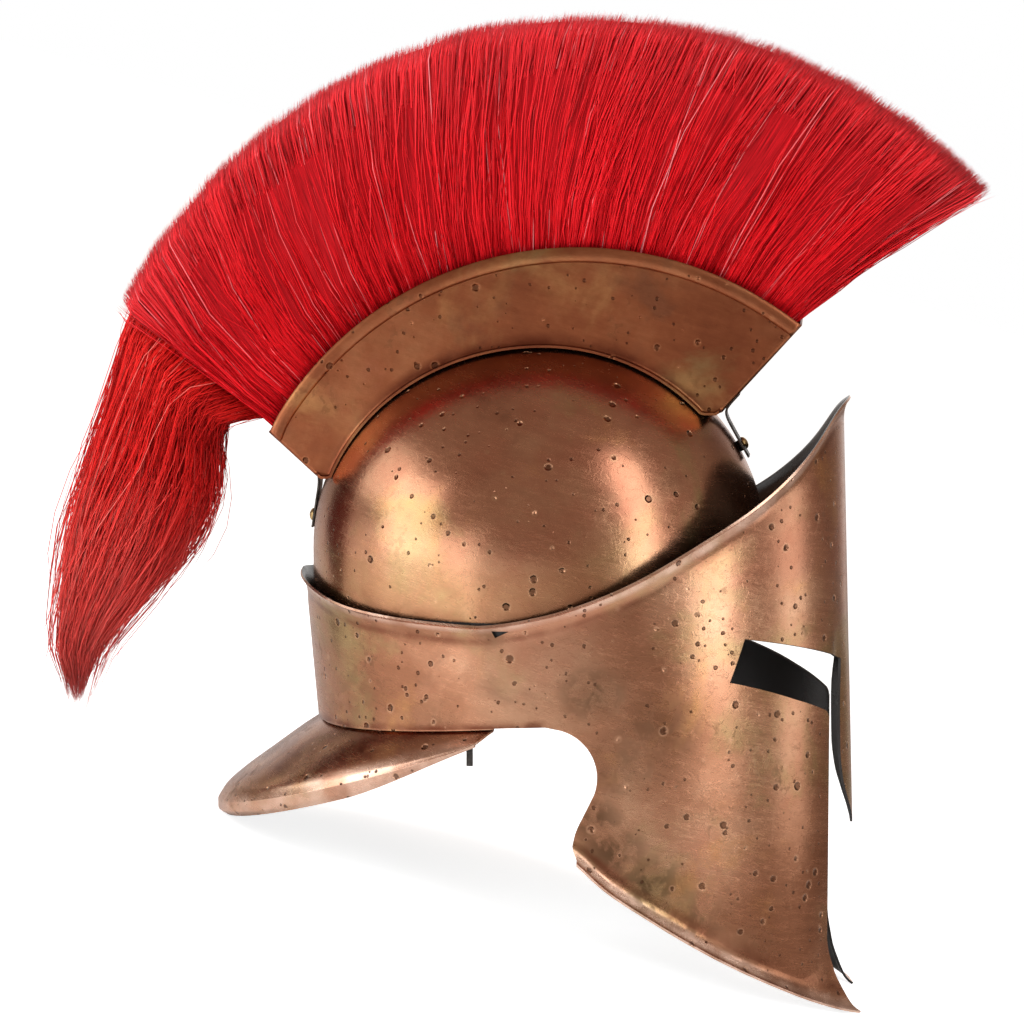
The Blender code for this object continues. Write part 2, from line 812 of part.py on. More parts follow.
def hole(name, path, pose):
    centre, out = fastener_frame(path)
    radius = SHANK_RADIUS + GAP
    ends = (-HOLE_REACH, HOLE_REACH / 2.0)
    profile = [(0.0, ends[0]), (radius, ends[0]), (radius, ends[1]), (0.0, ends[1])]
    cutter = turned(name, profile, centre, out, 8, DARK_STEEL, pose)
    cutter.hide_render = True
    cutter.display_type = "WIRE"
    return cutter


def front_fastener_hole(pose):
    return bpy.data.objects.get("front_hole_cutter") or hole("front_hole_cutter", front_path(), pose)


def rear_fastener_hole(pose):
    return bpy.data.objects.get("rear_hole_cutter") or hole("rear_hole_cutter", rear_path(), pose)


def fastener_profile(inside):
    """Domed head on a shank, as (radius, distance out from the bracket)."""
    seat = BRACKET_SHEET + GAP
    return [
        (0.0, -inside),
        (SHANK_RADIUS, -inside),
        (SHANK_RADIUS, seat),
        (HEAD_RADIUS, seat),
        (HEAD_RADIUS, seat + HEAD_HEIGHT * 0.25),
        (HEAD_RADIUS * 0.75, seat + HEAD_HEIGHT * 0.75),
        (0.0, seat + HEAD_HEIGHT),
    ]


def make_fasteners(pose):
    centre, out = fastener_frame(front_path())
    inside = front_clearance() + SHEET + SHANK_INSIDE
    turned("front_rivet", fastener_profile(inside), centre, out, 10, BRASS, pose)
    ring("front_nut", SHANK_RADIUS + GAP, NUT_RADIUS, -GAP - NUT_THICKNESS, -GAP,
         centre, out, 6, DARK_STEEL, pose)
    centre, out = fastener_frame(rear_path())
    inside = GAP + SHEET + SHANK_INSIDE
    turned("rear_screw", fastener_profile(inside), centre, out, 10, BRASS, pose)


def make_brackets(pose):
    front = make_bracket("front_bracket", front_path(), pose)
    cut(front, front_fastener_hole(pose))
    rear = make_bracket("rear_bracket", rear_path(), pose)
    cut(rear, rear_fastener_hole(pose))


def fan_tip(share):
    """Point of the hair's outer line, from the rear (0) to the front (1)."""
    start = math.atan2(FAN_REAR_TIP[1] - FAN_CENTRE[1], FAN_REAR_TIP[0] - FAN_CENTRE[0])
    end = math.atan2(FAN_FRONT_TIP[1] - FAN_CENTRE[1], FAN_FRONT_TIP[0] - FAN_CENTRE[0])
    angle = mix(start, end, share)
    up = skull_crown() + FAN_CENTRE[1] + FAN_RADIUS * math.sin(angle)
    return FAN_CENTRE[0] + FAN_RADIUS * math.cos(angle), up


def plume_line(share, lock):
    """Root, box edge and tip of the hair. Lock is 1 on a lock's crest, 0 in a parting."""
    low = Vector((0.0, *box_low(share)))
    top = Vector((0.0, *box_top(share)))
    up = (top - low).normalized()
    inward = Vector((0.0, up.z, -up.y)) * (1.0 if share > 0.5 else -1.0)
    at_end = 1.0 - ramp(0.0, PLUME_END_SHARE, min(share, 1.0 - share))
    low += inward * PLUME_END_ROOM * at_end
    top += inward * PLUME_END_ROOM * at_end
    ridge = max(0.0, skull_top(low.y, 0.0) - low.z)
    root = low + up * (BACKING_LIFT + ridge)
    tip = Vector((0.0, *fan_tip(share)))
    tip -= (tip - top).normalized() * LOCK_NOTCH * (1.0 - lock)
    return root, top, tip


def plume_column(share, lock):
    """Loop of points across the plume at a place along the box."""
    root, top, tip = plume_line(share, lock)
    half = BOX_HALF_WIDTH - SHEET - GAP - FLAT_ROOM
    full = mix(1.0 - LOCK_DENT, 1.0, lock)
    rows = [
        # place, half width
        (root, half),
        (mix(root, top, 0.97), half),
        (mix(top, tip, 0.25), mix(half, FAN_HALF_WIDTH, 0.3) * full),
        (mix(top, tip, 0.60), mix(half, FAN_HALF_WIDTH, 0.75) * full),
        (mix(top, tip, 0.90), FAN_HALF_WIDTH * full),
        (mix(top, tip, 0.975), FAN_HALF_WIDTH * 0.62 * full),
    ]
    left = [place + Vector((width, 0.0, 0.0)) for place, width in rows]
    right = [place - Vector((width, 0.0, 0.0)) for place, width in reversed(rows)]
    return left + [tip] + right


def closed_loops(loops):
    """Closed body through loops of points, with flat ends."""
    count = len(loops[0])
    points = [point for loop in loops for point in loop]
    faces = [tuple(range(count)), tuple(reversed(range(len(points) - count, len(points))))]
    for here in range(len(loops) - 1):
        for step in range(count):
            a = here * count + step
            b = here * count + (step + 1) % count
            faces.append((a, b, b + count, a + count))
    return points, faces


def make_plume(pose):
    steps = 2 * FAN_LOCKS
    loops = [plume_column(step / steps, step % 2) for step in range(steps + 1)]
    points, faces = closed_loops(loops)
    plume = make_object("plume", points, faces, HAIR, pose)
    triangulate(plume)
    return plume


def tail_loop(centre, across, half_width, half_thickness):
    """Loop of one section of the tail: locks side by side, on both its faces."""
    loop = []
    sides = 4 * TAIL_LOCKS
    for step in range(sides):
        turn = math.tau * step / sides
        crest = 1.0 if step % 2 else TAIL_PARTING
        wide = half_width * crest * math.cos(turn)
        thick = half_thickness * crest * math.sin(turn)
        loop.append(centre + across * wide + Vector((thick, 0.0, 0.0)))
    return loop


def tail_root():
    """The tail's first loop, which lies against the rear end of the plume."""
    _, top, tip = plume_line(0.0, 0.0)
    across = (tip - top).normalized()
    out = Vector((0.0, across.z, -across.y))
    centre = top.lerp(tip, 0.5) + out * GAP
    half_width = (tip - top).length / 2.0 - TAIL_ROOT_INSET
    return tail_loop(centre, across, half_width, TAIL_ROOT_HALF_THICKNESS)


def tail_section(back, down, half_width, lean, thickness):
    corner = Vector((0.0, *box_rear_top()))
    centre = corner + Vector((0.0, back * TAIL_DROP, -down * TAIL_DROP))
    angle = math.radians(lean)
    across = Vector((0.0, math.cos(angle), math.sin(angle)))
    return tail_loop(centre, across, half_width * TAIL_DROP, thickness * TAIL_HALF_THICKNESS)


def make_tail(pose):
    loops = [tail_root()] + [tail_section(*row) for row in TAIL_SECTIONS]
    points, faces = closed_loops(loops)
    faces = faces[:1] + faces[2:]
    tip = len(points)
    count = len(loops[0])
    back = TAIL_SECTIONS[-1][0]
    corner = Vector((0.0, *box_rear_top()))
    points.append(corner + Vector((0.0, back * TAIL_DROP, -TAIL_DROP)))
    for step in range(count):
        here = tip - count + step
        there = tip - count + (step + 1) % count
        faces.append((here, there, tip))
    tail = make_object("plume_tail", points, faces, TAIL_HAIR, pose)
    triangulate(tail)
    return tail


def make_lace(name, side, pose):
    """Lace end that hangs on the inner face of the neck guard's flange."""
    turn = math.acos(-LACE_PLACE / MASK_REAR)
    seat = mask_point(turn, band_bottom(turn), -2.0 * (SHEET + GAP + FLAT_ROOM))
    near = seat.x - FLAT_ROOM
    far = near - LACE_THICKNESS
    columns = []
    for across, along in ((near, -1), (near, 1), (far, 1), (far, -1)):
        place = LACE_PLACE + along * LACE_WIDTH / 2.0
        columns.append([
            Vector((side * across, place, LACE_TOP)),
            Vector((side * across, place, LACE_BOTTOM)),
        ])
    points, faces = sheet_grid(columns, closed=True)
    faces += [(0, 2, 4, 6), (7, 5, 3, 1)]
    return make_object(name, points, faces, LEATHER, pose)


def outline_points(made):
    """Corners of an object as its modifiers leave it, in its parent's frame."""
    evaluated = made.evaluated_get(bpy.context.evaluated_depsgraph_get())
    return [vertex.co.copy() for vertex in evaluated.data.vertices]


def lowest(points, lean):
    turn = Matrix.Rotation(lean, 3, "X")
    return min((turn @ point).z for point in points)


def resting_lean(front, rear):
    """Lean at which the front points and the rear points touch one level floor."""
    low, high = math.radians(-40.0), math.radians(10.0)
    for _ in range(60):
        middle = (low + high) / 2.0
        if lowest(front, middle) < lowest(rear, middle):
            high = middle
        else:
            low = middle
    return (low + high) / 2.0


def rest_on_floor(pose, mask, guard):
    bpy.context.view_layer.update()
    cheeks = outline_points(mask)
    rim = outline_points(guard)
    lean = resting_lean(cheeks, rim)
    turn = Matrix.Rotation(lean, 3, "X")
    everything = []
    for made in pose.children:
        if not made.hide_render:
            everything += [turn @ point for point in outline_points(made)]
    lows = [min(point[axis] for point in everything) for axis in range(3)]
    highs = [max(point[axis] for point in everything) for axis in range(3)]
    pose.rotation_euler = (lean, 0.0, 0.0)
    pose.location = (-(lows[0] + highs[0]) / 2.0, -(lows[1] + highs[1]) / 2.0, -lows[2])


def main():
    clear_scene()
    pose = bpy.data.objects.new("resting_pose", None)
    bpy.context.scene.collection.objects.link(pose)
    make_skull(pose)
    mask = make_mask(pose)
    guard = make_neck_guard(pose)
    make_crest_box(pose)
    make_brackets(pose)
    make_fasteners(pose)
    make_plume(pose)
    make_tail(pose)
    make_lace("lace_left", 1, pose)
    make_lace("lace_right", -1, pose)
    rest_on_floor(pose, mask, guard)


main()
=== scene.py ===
"""Greek helmet: copper-finished sheet steel, red horsehair crest, on a pale floor."""

import math

import bpy
import numpy as np
from mathutils import Matrix, Vector


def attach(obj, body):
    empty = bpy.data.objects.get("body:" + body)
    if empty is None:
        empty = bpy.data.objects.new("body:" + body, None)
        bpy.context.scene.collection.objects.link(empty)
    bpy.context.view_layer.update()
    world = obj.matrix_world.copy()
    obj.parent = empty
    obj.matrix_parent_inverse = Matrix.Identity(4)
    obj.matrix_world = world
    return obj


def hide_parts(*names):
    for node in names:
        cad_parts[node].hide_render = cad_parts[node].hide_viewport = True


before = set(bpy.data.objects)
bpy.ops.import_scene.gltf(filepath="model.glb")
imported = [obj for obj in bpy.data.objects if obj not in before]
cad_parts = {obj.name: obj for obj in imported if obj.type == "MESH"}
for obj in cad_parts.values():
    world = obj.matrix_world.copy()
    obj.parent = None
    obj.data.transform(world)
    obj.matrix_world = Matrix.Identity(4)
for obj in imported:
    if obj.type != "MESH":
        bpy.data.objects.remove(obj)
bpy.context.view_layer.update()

MM = 0.001
MERGE = 0.02 * MM


# Sizes of the part, as its source names them
SHEET = 1.2 * MM
GAP = 0.3 * MM
FLAT_ROOM = 0.4 * MM
LEAN = math.radians(-16.2373)
PLACE = Vector((0.0, -10.17, 171.09)) * MM
MASK_FRONT = 149.1 * MM
MASK_REAR = 120.4 * MM
MASK_HALF_WIDTH = 99.0 * MM
FRONT_LEAN = 0.030
REAR_LEAN = 0.088
REAR_LEAN_TOP = -22.0 * MM
BROW_TOP = 81.0 * MM
RIM_LOW = -22.8 * MM
RIM_REAR = -7.5 * MM
RIM_ROLL = 0.032
RIM_LIP_HEIGHT = 10.0 * MM
RIM_LIP_FLARE = 3.6 * MM
BAND_BOTTOM_REAR = -80.5 * MM
BAND_BOTTOM_SIDE = -70.5 * MM
CHEEK_CORNER = -129.0 * MM
CHEEK_TIP = -224.0 * MM
CHEEK_LIP_HEIGHT = 9.0 * MM
CHEEK_LIP_FLARE = 5.0 * MM
TIP_LIP_HEIGHT = 36.0 * MM
TIP_LIP_FLARE = 12.5 * MM
TIP_TURN = math.radians(26.0)
NOTCH_FRONT = 30.8 * MM
NOTCH_CORNER = 19.4 * MM
NOTCH_MID = -95.0 * MM
NOTCH_ROUND = 24.0 * MM
NOTCH_START = -6.0 * MM
EYE_OUTER_TOP = (73.5 * MM, -30.3 * MM)
EYE_OUTER_LOW = (77.6 * MM, -51.0 * MM)
EYE_INNER_TOP = -47.2 * MM
EYE_INNER_LOW = -69.5 * MM
EYE_CORNER = 5.0 * MM
FACE_HALF_GAP = 34.4 * MM
TIP_HALF_GAP = 29.8 * MM
NASAL_HALF_WIDTH = 21.5 * MM
NASAL_TIP = -133.0 * MM
NASAL_RADIUS = 31.0 * MM
NASAL_TWIST = 0.08
SLOT_LENGTH = 8.5 * MM
SLOT_HEIGHT = 3.4 * MM
SLOT_DROP = 1.8 * MM
SLOT_PLACE = 15.5 * MM
SKULL_FRONT = 108.6 * MM
SKULL_HEIGHT = 103.8 * MM
SKULL_EQUATOR = 5.0 * MM
SKULL_BOTTOM = -34.0 * MM
GUARD_REACH = 51.5 * MM
GUARD_FRONT = 20.0 * MM
GUARD_HALF_WIDTH = 102.5 * MM
GUARD_DROP_REAR = 43.5 * MM
GUARD_DROP_END = 4.0 * MM
GUARD_DROP_POWER = 0.85
GUARD_LIP = 6.8 * MM
GUARD_LIP_START = 0.68
GUARD_LIP_END = 0.15
GUARD_FLANGE = 8.0 * MM
BOX_HALF_WIDTH = 25.0 * MM
BOX_REAR_LOW = (113.6 * MM, 41.5 * MM)
BOX_REAR_TOP = (137.1 * MM, 63.0 * MM)
BOX_FRONT_LOW = (-87.4 * MM, 74.5 * MM)
BOX_FRONT_TOP = (-126.1 * MM, 117.3 * MM)
BOX_CROWN = 155.0 * MM
BEAD_HEIGHT = 7.5 * MM
BEAD_PROUD = 1.8 * MM
BEAD_TURN = math.radians(163.0)
BOX_CORNER = 2.0 * MM
BRACKET_WIDTH = 14.0 * MM
BRACKET_SHEET = 1.0 * MM
BRACKET_LEG = 11.0 * MM
FRONT_FOOT = (61.5 * MM, 49.5 * MM)
REAR_FOOT = (25.0 * MM, 13.5 * MM)
NUT_THICKNESS = 1.3 * MM
SHANK_RADIUS = 1.5 * MM
HEAD_RADIUS = 3.2 * MM
HEAD_HEIGHT = 2.2 * MM
SHANK_INSIDE = 3.0 * MM
FAN_RADIUS = 266.5 * MM
FAN_CENTRE = (-22.0 * MM, 2.8 * MM)
FAN_REAR_TIP = (207.5 * MM, 140.0 * MM)
FAN_FRONT_TIP = (-207.0 * MM, 181.0 * MM)
FAN_HALF_WIDTH = 31.0 * MM
BACKING_LIFT = 6.0 * MM
PLUME_END_ROOM = 3.6 * MM
TAIL_DROP = 140.0 * MM
TAIL_ROOT_INSET = 4.5 * MM
TAIL_ROOT_HALF_THICKNESS = 15.0 * MM
TAIL_HALF_THICKNESS = 24.0 * MM

# Shares of the mask's rows in its rim's lip, its wall and its cheek's lip
RIM_ROWS = 0.16
WALL_ROWS = 0.66
LIP_ROWS = 0.18
LIP_SPACING = 1.4

RIM_FRONT = [
    # turn in degrees, share of the brow's rise
    (0, 1.0), (12, 0.965), (18, 0.915), (25, 0.810), (33, 0.690), (45, 0.522), (58, 0.365),
    (74, 0.170), (90, 0.040), (101, 0.0),
]

RIM_BACK = [
    # turn in degrees, share of the rear's rise
    (101, 0.0), (123, 0.12), (141, 0.30), (160, 0.72), (180, 1.0),
]

CHEEK_EDGE = [
    # turn in degrees, share of the drop from corner to tip
    (13, 1.0), (20, 0.953), (31, 0.862), (43, 0.738), (53, 0.612), (62, 0.475), (70, 0.335),
    (78, 0.180), (84, 0.0),
]

LIP_SECTION = [
    # share of the lip's height, share of its flare
    (0.0, 1.0), (0.05, 0.80), (0.14, 0.63), (0.30, 0.44), (0.62, 0.14), (1.0, 0.0),
]

NASAL_OUTLINE = [
    # share of the nasal's length, share of its half width
    (0.0, 0.92), (0.10, 0.90), (0.21, 0.91), (0.35, 0.93), (0.54, 0.94), (0.70, 0.86), (0.85, 0.58),
    (0.94, 0.27),
]

GUARD_SECTION = [
    # share of the reach, of the plate's drop, of the lip's
    (0.0, 0.0, 0.0), (0.18, 0.14, 0.0), (0.50, 0.43, 0.0), (0.79, 0.70, 0.0), (0.93, 0.86, 0.0),
    (1.0, 1.0, 0.0), (1.0, 1.0, 0.6), (0.93, 1.0, 1.0),
]

TAIL_SECTIONS = [
    # back, down, half width, lean in degrees, thickness
    (0.345, -0.195, 0.259, 42, 0.95), (0.390, -0.075, 0.214, 30, 1.00),
    (0.427, 0.111, 0.229, 20, 1.00), (0.485, 0.273, 0.227, 11, 0.98),
    (0.545, 0.441, 0.199, 8, 0.88), (0.619, 0.596, 0.152, 2, 0.70), (0.694, 0.749, 0.096, -5, 0.48),
    (0.734, 0.873, 0.045, -7, 0.28), (0.734, 1.0, 0.004, -7, 0.04),
]

MASK_TARNISH = [
    # back, up, reach, strength
    (-30, -116, 16, 0.9), (-38, -131, 20, 1.0), (-56, -149, 24, 1.0), (-76, -168, 24, 0.8),
    (-98, -186, 24, 0.5), (-29, -54, 20, 0.8), (-58, -72, 26, 0.55), (-44, -88, 26, 0.5),
    (20, -26, 12, 0.5), (50, -70, 16, 0.4), (95, -62, 30, 0.35),
]

STAINS = [
    # shift of the pattern, its scale, its start and end, strength, colour
    ((0.0, 0.0, 0.0), 9.0, 0.50, 0.68, 0.50, (0.46, 0.16, 0.095, 1.0)),
    ((0.3, 0.1, 0.7), 12.0, 0.52, 0.68, 0.55, (0.40, 0.33, 0.14, 1.0)),
    ((0.8, 0.5, 0.2), 14.0, 0.54, 0.70, 0.60, (0.66, 0.33, 0.13, 1.0)),
    ((0.1, 0.9, 0.4), 22.0, 0.55, 0.72, 0.45, (0.19, 0.085, 0.05, 1.0)),
]

looks = {}
groups = {}
RESTING = Matrix.Translation(PLACE) @ Matrix.Rotation(LEAN, 4, "X")


# Small tools

def mix(first, last, share):
    return first + (last - first) * share


def ramp(low, high, value):
    share = min(1.0, max(0.0, (value - low) / (high - low)))
    return share * share * (3.0 - 2.0 * share)


def curve_through(table, places, column=1):
    """Smooth values between a table's rows, never beyond their own range."""
    x = np.array([row[0] for row in table], float)
    y = np.array([row[column] for row in table], float)
    step = np.diff(x)
    rise = np.diff(y) / step
    slope = np.zeros(len(x))
    slope[0], slope[-1] = rise[0], rise[-1]
    for here in range(1, len(x) - 1):
        if rise[here - 1] * rise[here] > 0.0:
            slope[here] = 2.0 * rise[here - 1] * rise[here] / (rise[here - 1] + rise[here])
    places = np.clip(np.asarray(places, float), x[0], x[-1])
    row = np.clip(np.searchsorted(x, places) - 1, 0, len(step) - 1)
    t = (places - x[row]) / step[row]
    bend = step[row] * (slope[row] * t * (1 - t) ** 2 - slope[row + 1] * t * t * (1 - t))
    return y[row] * (1 + 2 * t) * (1 - t) ** 2 + y[row + 1] * t * t * (3 - 2 * t) + bend


def deselect_everything():
    if bpy.context.object and bpy.context.object.mode != "OBJECT":
        bpy.ops.object.mode_set(mode="OBJECT")
    bpy.ops.object.select_all(action="DESELECT")


def make_active(piece):
    deselect_everything()
    piece.select_set(True)
    bpy.context.view_layer.objects.active = piece


def apply_modifiers(piece):
    make_active(piece)
    for modifier in list(piece.modifiers):
        bpy.ops.object.modifier_apply(modifier=modifier.name)


def start_editing(piece):
    make_active(piece)
    bpy.ops.object.mode_set(mode="EDIT")
    bpy.ops.mesh.select_all(action="SELECT")


def end_editing():
    bpy.ops.mesh.select_all(action="SELECT")
    bpy.ops.mesh.normals_make_consistent(inside=False)
    bpy.ops.object.mode_set(mode="OBJECT")


def face_outward(piece, inside):
    away = sum(face.area * face.normal.dot(face.center - inside) for face in piece.data.polygons)
    if away < 0.0:
        piece.data.flip_normals()


def flat_sheet(name, columns, rows):
    """A flat grid, one unit on each side, to be bent into a sheet of metal."""
    deselect_everything()
    bpy.ops.mesh.primitive_grid_add(x_subdivisions=columns, y_subdivisions=rows, size=1.0)
    sheet = bpy.context.object
    sheet.name = name
    sheet.data.name = name
    return sheet


def bend_sheet(sheet, surface, inside=None):
    """Move each corner of the flat grid to its place on the surface."""
    for corner in sheet.data.vertices:
        corner.co = surface(corner.co.x + 0.5, corner.co.y + 0.5)
    start_editing(sheet)
    bpy.ops.mesh.remove_doubles(threshold=MERGE)
    end_editing()
    if inside is not None:
        face_outward(sheet, inside)


def add_wall(sheet, thickness=SHEET, side=-1.0):
    """Give the sheet its thickness. The inner face takes the second material."""
    wall = sheet.modifiers.new("Wall", "SOLIDIFY")
    wall.thickness = thickness
    wall.offset = side
    wall.use_even_offset = True
    wall.material_offset = 1
    wall.material_offset_rim = 0
    apply_modifiers(sheet)


def cut_away(sheet, cutters):
    for cutter in cutters:
        hole = sheet.modifiers.new(cutter.name, "BOOLEAN")
        hole.operation = "DIFFERENCE"
        hole.solver = "EXACT"
        hole.object = cutter
    apply_modifiers(sheet)
    for cutter in cutters:
        bpy.data.objects.remove(cutter, do_unlink=True)


def break_edges(sheet, width=0.28 * MM, angle=55.0):
    """Round the cut edges of the sheet a little, as a file leaves them."""
    edge = sheet.modifiers.new("Broken edges", "BEVEL")
    edge.width = width
    edge.segments = 2
    edge.limit_method = "ANGLE"
    edge.angle_limit = math.radians(angle)
    edge.use_clamp_overlap = True
    apply_modifiers(sheet)


def cutter_from(name, outline, start, end, place, finish="mask_copper"):
    """Closed cutter: an outline pushed from start to end."""
    deselect_everything()
    bpy.ops.mesh.primitive_circle_add(vertices=len(outline), radius=1.0, fill_type="NGON")
    cutter = bpy.context.object
    cutter.name = name
    for corner, (across, up) in zip(cutter.data.vertices, outline):
        corner.co = place(across, up, start)
    push = place(0.0, 0.0, end) - place(0.0, 0.0, start)
    start_editing(cutter)
    bpy.ops.mesh.extrude_region_move(TRANSFORM_OT_translate={"value": push})
    end_editing()
    cutter.data.materials.append(looks[finish])
    return cutter


def side_view(across, up, depth):
    return Vector((depth, across, up))


def front_view(across, up, depth):
    return Vector((across, depth, up))


def set_on_floor(piece):
    piece.data.transform(RESTING)
    piece.data.update()


def finish_piece(piece, nodes, smooth=35.0):
    """Lean the piece as the helmet rests, attach it to the helmet's body and hide the parts that it stands
    for.
    """
    set_on_floor(piece)
    make_active(piece)
    if smooth:
        bpy.ops.object.shade_smooth_by_angle(angle=math.radians(smooth))
        shading = piece.modifiers.new("Shading", "WEIGHTED_NORMAL")
        shading.keep_sharp = True
        apply_modifiers(piece)
    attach(piece, "root")
    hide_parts(*nodes)


# Node trees

def grey(value):
    return (value, value, value, 1.0)


def rgb(red, green, blue):
    return (red, green, blue, 1.0)


def new_material(name):
    made = bpy.data.materials.new(name)
    made.use_nodes = True
    looks[name] = made
    return made.node_tree, made.node_tree.nodes["Principled BSDF"]


def set_inputs(tree, node, values):
    """Set a node's inputs, and link those whose value is another node's socket."""
    for key, value in values.items():
        if isinstance(value, bpy.types.NodeSocket):
            tree.links.new(value, node.inputs[key])
        else:
            node.inputs[key].default_value = value


def add_node(tree, kind, values=None, **settings):
    made = tree.nodes.new("ShaderNode" + kind)
    for key, value in settings.items():
        setattr(made, key, value)
    set_inputs(tree, made, values or {})
    return made


def compute(tree, operation, *values):
    return add_node(tree, "Math", dict(enumerate(values)), operation=operation).outputs[0]


def compute_vector(tree, operation, *values):
    return add_node(tree, "VectorMath", dict(enumerate(values)), operation=operation).outputs[0]


def spread(tree, value, low, high, first, last, **settings):
    """Turn the range from low to high into the range from first to last."""
    values = {"Value": value, 1: low, 2: high, 3: first, 4: last}
    return add_node(tree, "MapRange", values, **settings).outputs[0]


def noise(tree, place, scale, detail, roughness=0.5, distortion=0.0):
    values = {"Vector": place, "Scale": scale, "Detail": detail, "Roughness": roughness}
    return add_node(tree, "TexNoise", {**values, "Distortion": distortion}).outputs["Fac"]


def bump(tree, height, strength, distance, **below):
    values = {"Height": height, "Strength": strength, "Distance": distance, **below}
    return add_node(tree, "Bump", values).outputs["Normal"]


def layer_colour(tree, mask, below, colour, blend="MIX"):
    """Lay a colour over what is below, by a mask."""
    values = {"Factor": mask, "A": below, "B": colour}
    return add_node(tree, "Mix", values, data_type="RGBA", blend_type=blend).outputs["Result"]


def ramp_colour(tree, value, stops):
    node = add_node(tree, "ValToRGB", {"Fac": value})
    elements = node.color_ramp.elements
    while len(elements) > 1:
        elements.remove(elements[-1])
    elements[0].position, elements[0].color = stops[0]
    for place, colour in stops[1:]:
        elements.new(place).color = colour
    return node.outputs["Color"]


def plain_colour(tree, colour):
    node = add_node(tree, "RGB")
    node.outputs[0].default_value = colour
    return node.outputs[0]


def object_place(tree):
    return add_node(tree, "TexCoord").outputs["Object"]


def attribute(tree, name):
    return add_node(tree, "Attribute", attribute_name=name).outputs["Fac"]


def new_group(name, inputs, outputs):
    """Node group that takes a vector and numbers, and gives numbers."""
    group = bpy.data.node_groups.new(name, "ShaderNodeTree")
    group.interface.new_socket("Vector", in_out="INPUT", socket_type="NodeSocketVector")
    for label in inputs:
        group.interface.new_socket(label, in_out="INPUT", socket_type="NodeSocketFloat")
    for label in outputs:
        group.interface.new_socket(label, in_out="OUTPUT", socket_type="NodeSocketFloat")
    groups[name] = group
    return group, group.nodes.new("NodeGroupInput").outputs, group.nodes.new("NodeGroupOutput")


def use_group(tree, name, place, **values):
    return add_node(tree, "Group", {"Vector": place, **values}, node_tree=groups[name]).outputs


def patches(tree, place, scale, start, end):
    return use_group(tree, "Patches", place, Scale=scale, Start=start, End=end)["Mask"]


def make_pits_group():
    """Round dents left by casting and handling, scattered over the metal."""
    group, source, result = new_group("Pits", ("Scale", "Amount", "Size"), ("Mask", "Height", "Rim"))
    warp = add_node(group, "TexNoise", {"Vector": source["Vector"], "Scale": 160.0, "Detail": 2.0})
    shift = compute_vector(group, "SUBTRACT", warp.outputs["Color"], (0.5, 0.5, 0.5))
    small = add_node(group, "VectorMath", {0: shift, "Scale": 0.0014}, operation="SCALE").outputs[0]
    moved = compute_vector(group, "ADD", source["Vector"], small)
    cells = add_node(group, "TexVoronoi", {"Vector": moved, "Scale": source["Scale"], "Randomness": 1.0})
    pick = add_node(group, "SeparateColor", {"Color": cells.outputs["Color"]}).outputs
    chosen = compute(group, "LESS_THAN", pick["Red"], source["Amount"])
    vary = compute(group, "MULTIPLY_ADD", pick["Green"], 0.8, 0.35)
    size = compute(group, "MULTIPLY", vary, source["Size"])
    share = compute(group, "DIVIDE", cells.outputs["Distance"], size)
    bowl = spread(group, share, 0.55, 1.0, 1.0, 0.0, interpolation_type="SMOOTHSTEP")
    mask = compute(group, "MULTIPLY", bowl, chosen)
    edge = spread(group, share, 1.0, 1.45, 1.0, 0.0, interpolation_type="SMOOTHSTEP")
    rim = compute(group, "SUBTRACT", compute(group, "MULTIPLY", edge, chosen), mask)
    depth = compute(group, "MULTIPLY", mask, -1.0)
    set_inputs(group, result, {"Mask": mask, "Height": depth, "Rim": rim})


def make_patches_group():
    """Broad patches with ragged borders, such as tarnish or a heat stain."""
    group, source, result = new_group("Patches", ("Scale", "Start", "End"), ("Mask",))
    cloud = noise(group, source["Vector"], source["Scale"], 6.0, 0.62, 0.4)
    mask = spread(group, cloud, source["Start"], source["End"], 0.0, 1.0, interpolation_type="SMOOTHSTEP")
    set_inputs(group, result, {"Mask": mask})


def make_brushed_group():
    """Fine streaks left by a wire brush, longer one way than the other."""
    group, source, result = new_group("Brushed", ("Scale",), ("Streaks",))
    stretched = compute_vector(group, "MULTIPLY", source["Vector"], (0.5, 1.0, 7.0))
    coarse = noise(group, stretched, source["Scale"], 4.0, 0.6)
    fine = noise(group, stretched, compute(group, "MULTIPLY", source["Scale"], 6.0), 2.0)
    blend = add_node(group, "Mix", {"Factor": 0.45, "A": coarse, "B": fine})
    set_inputs(group, result, {"Streaks": blend.outputs["Result"]})


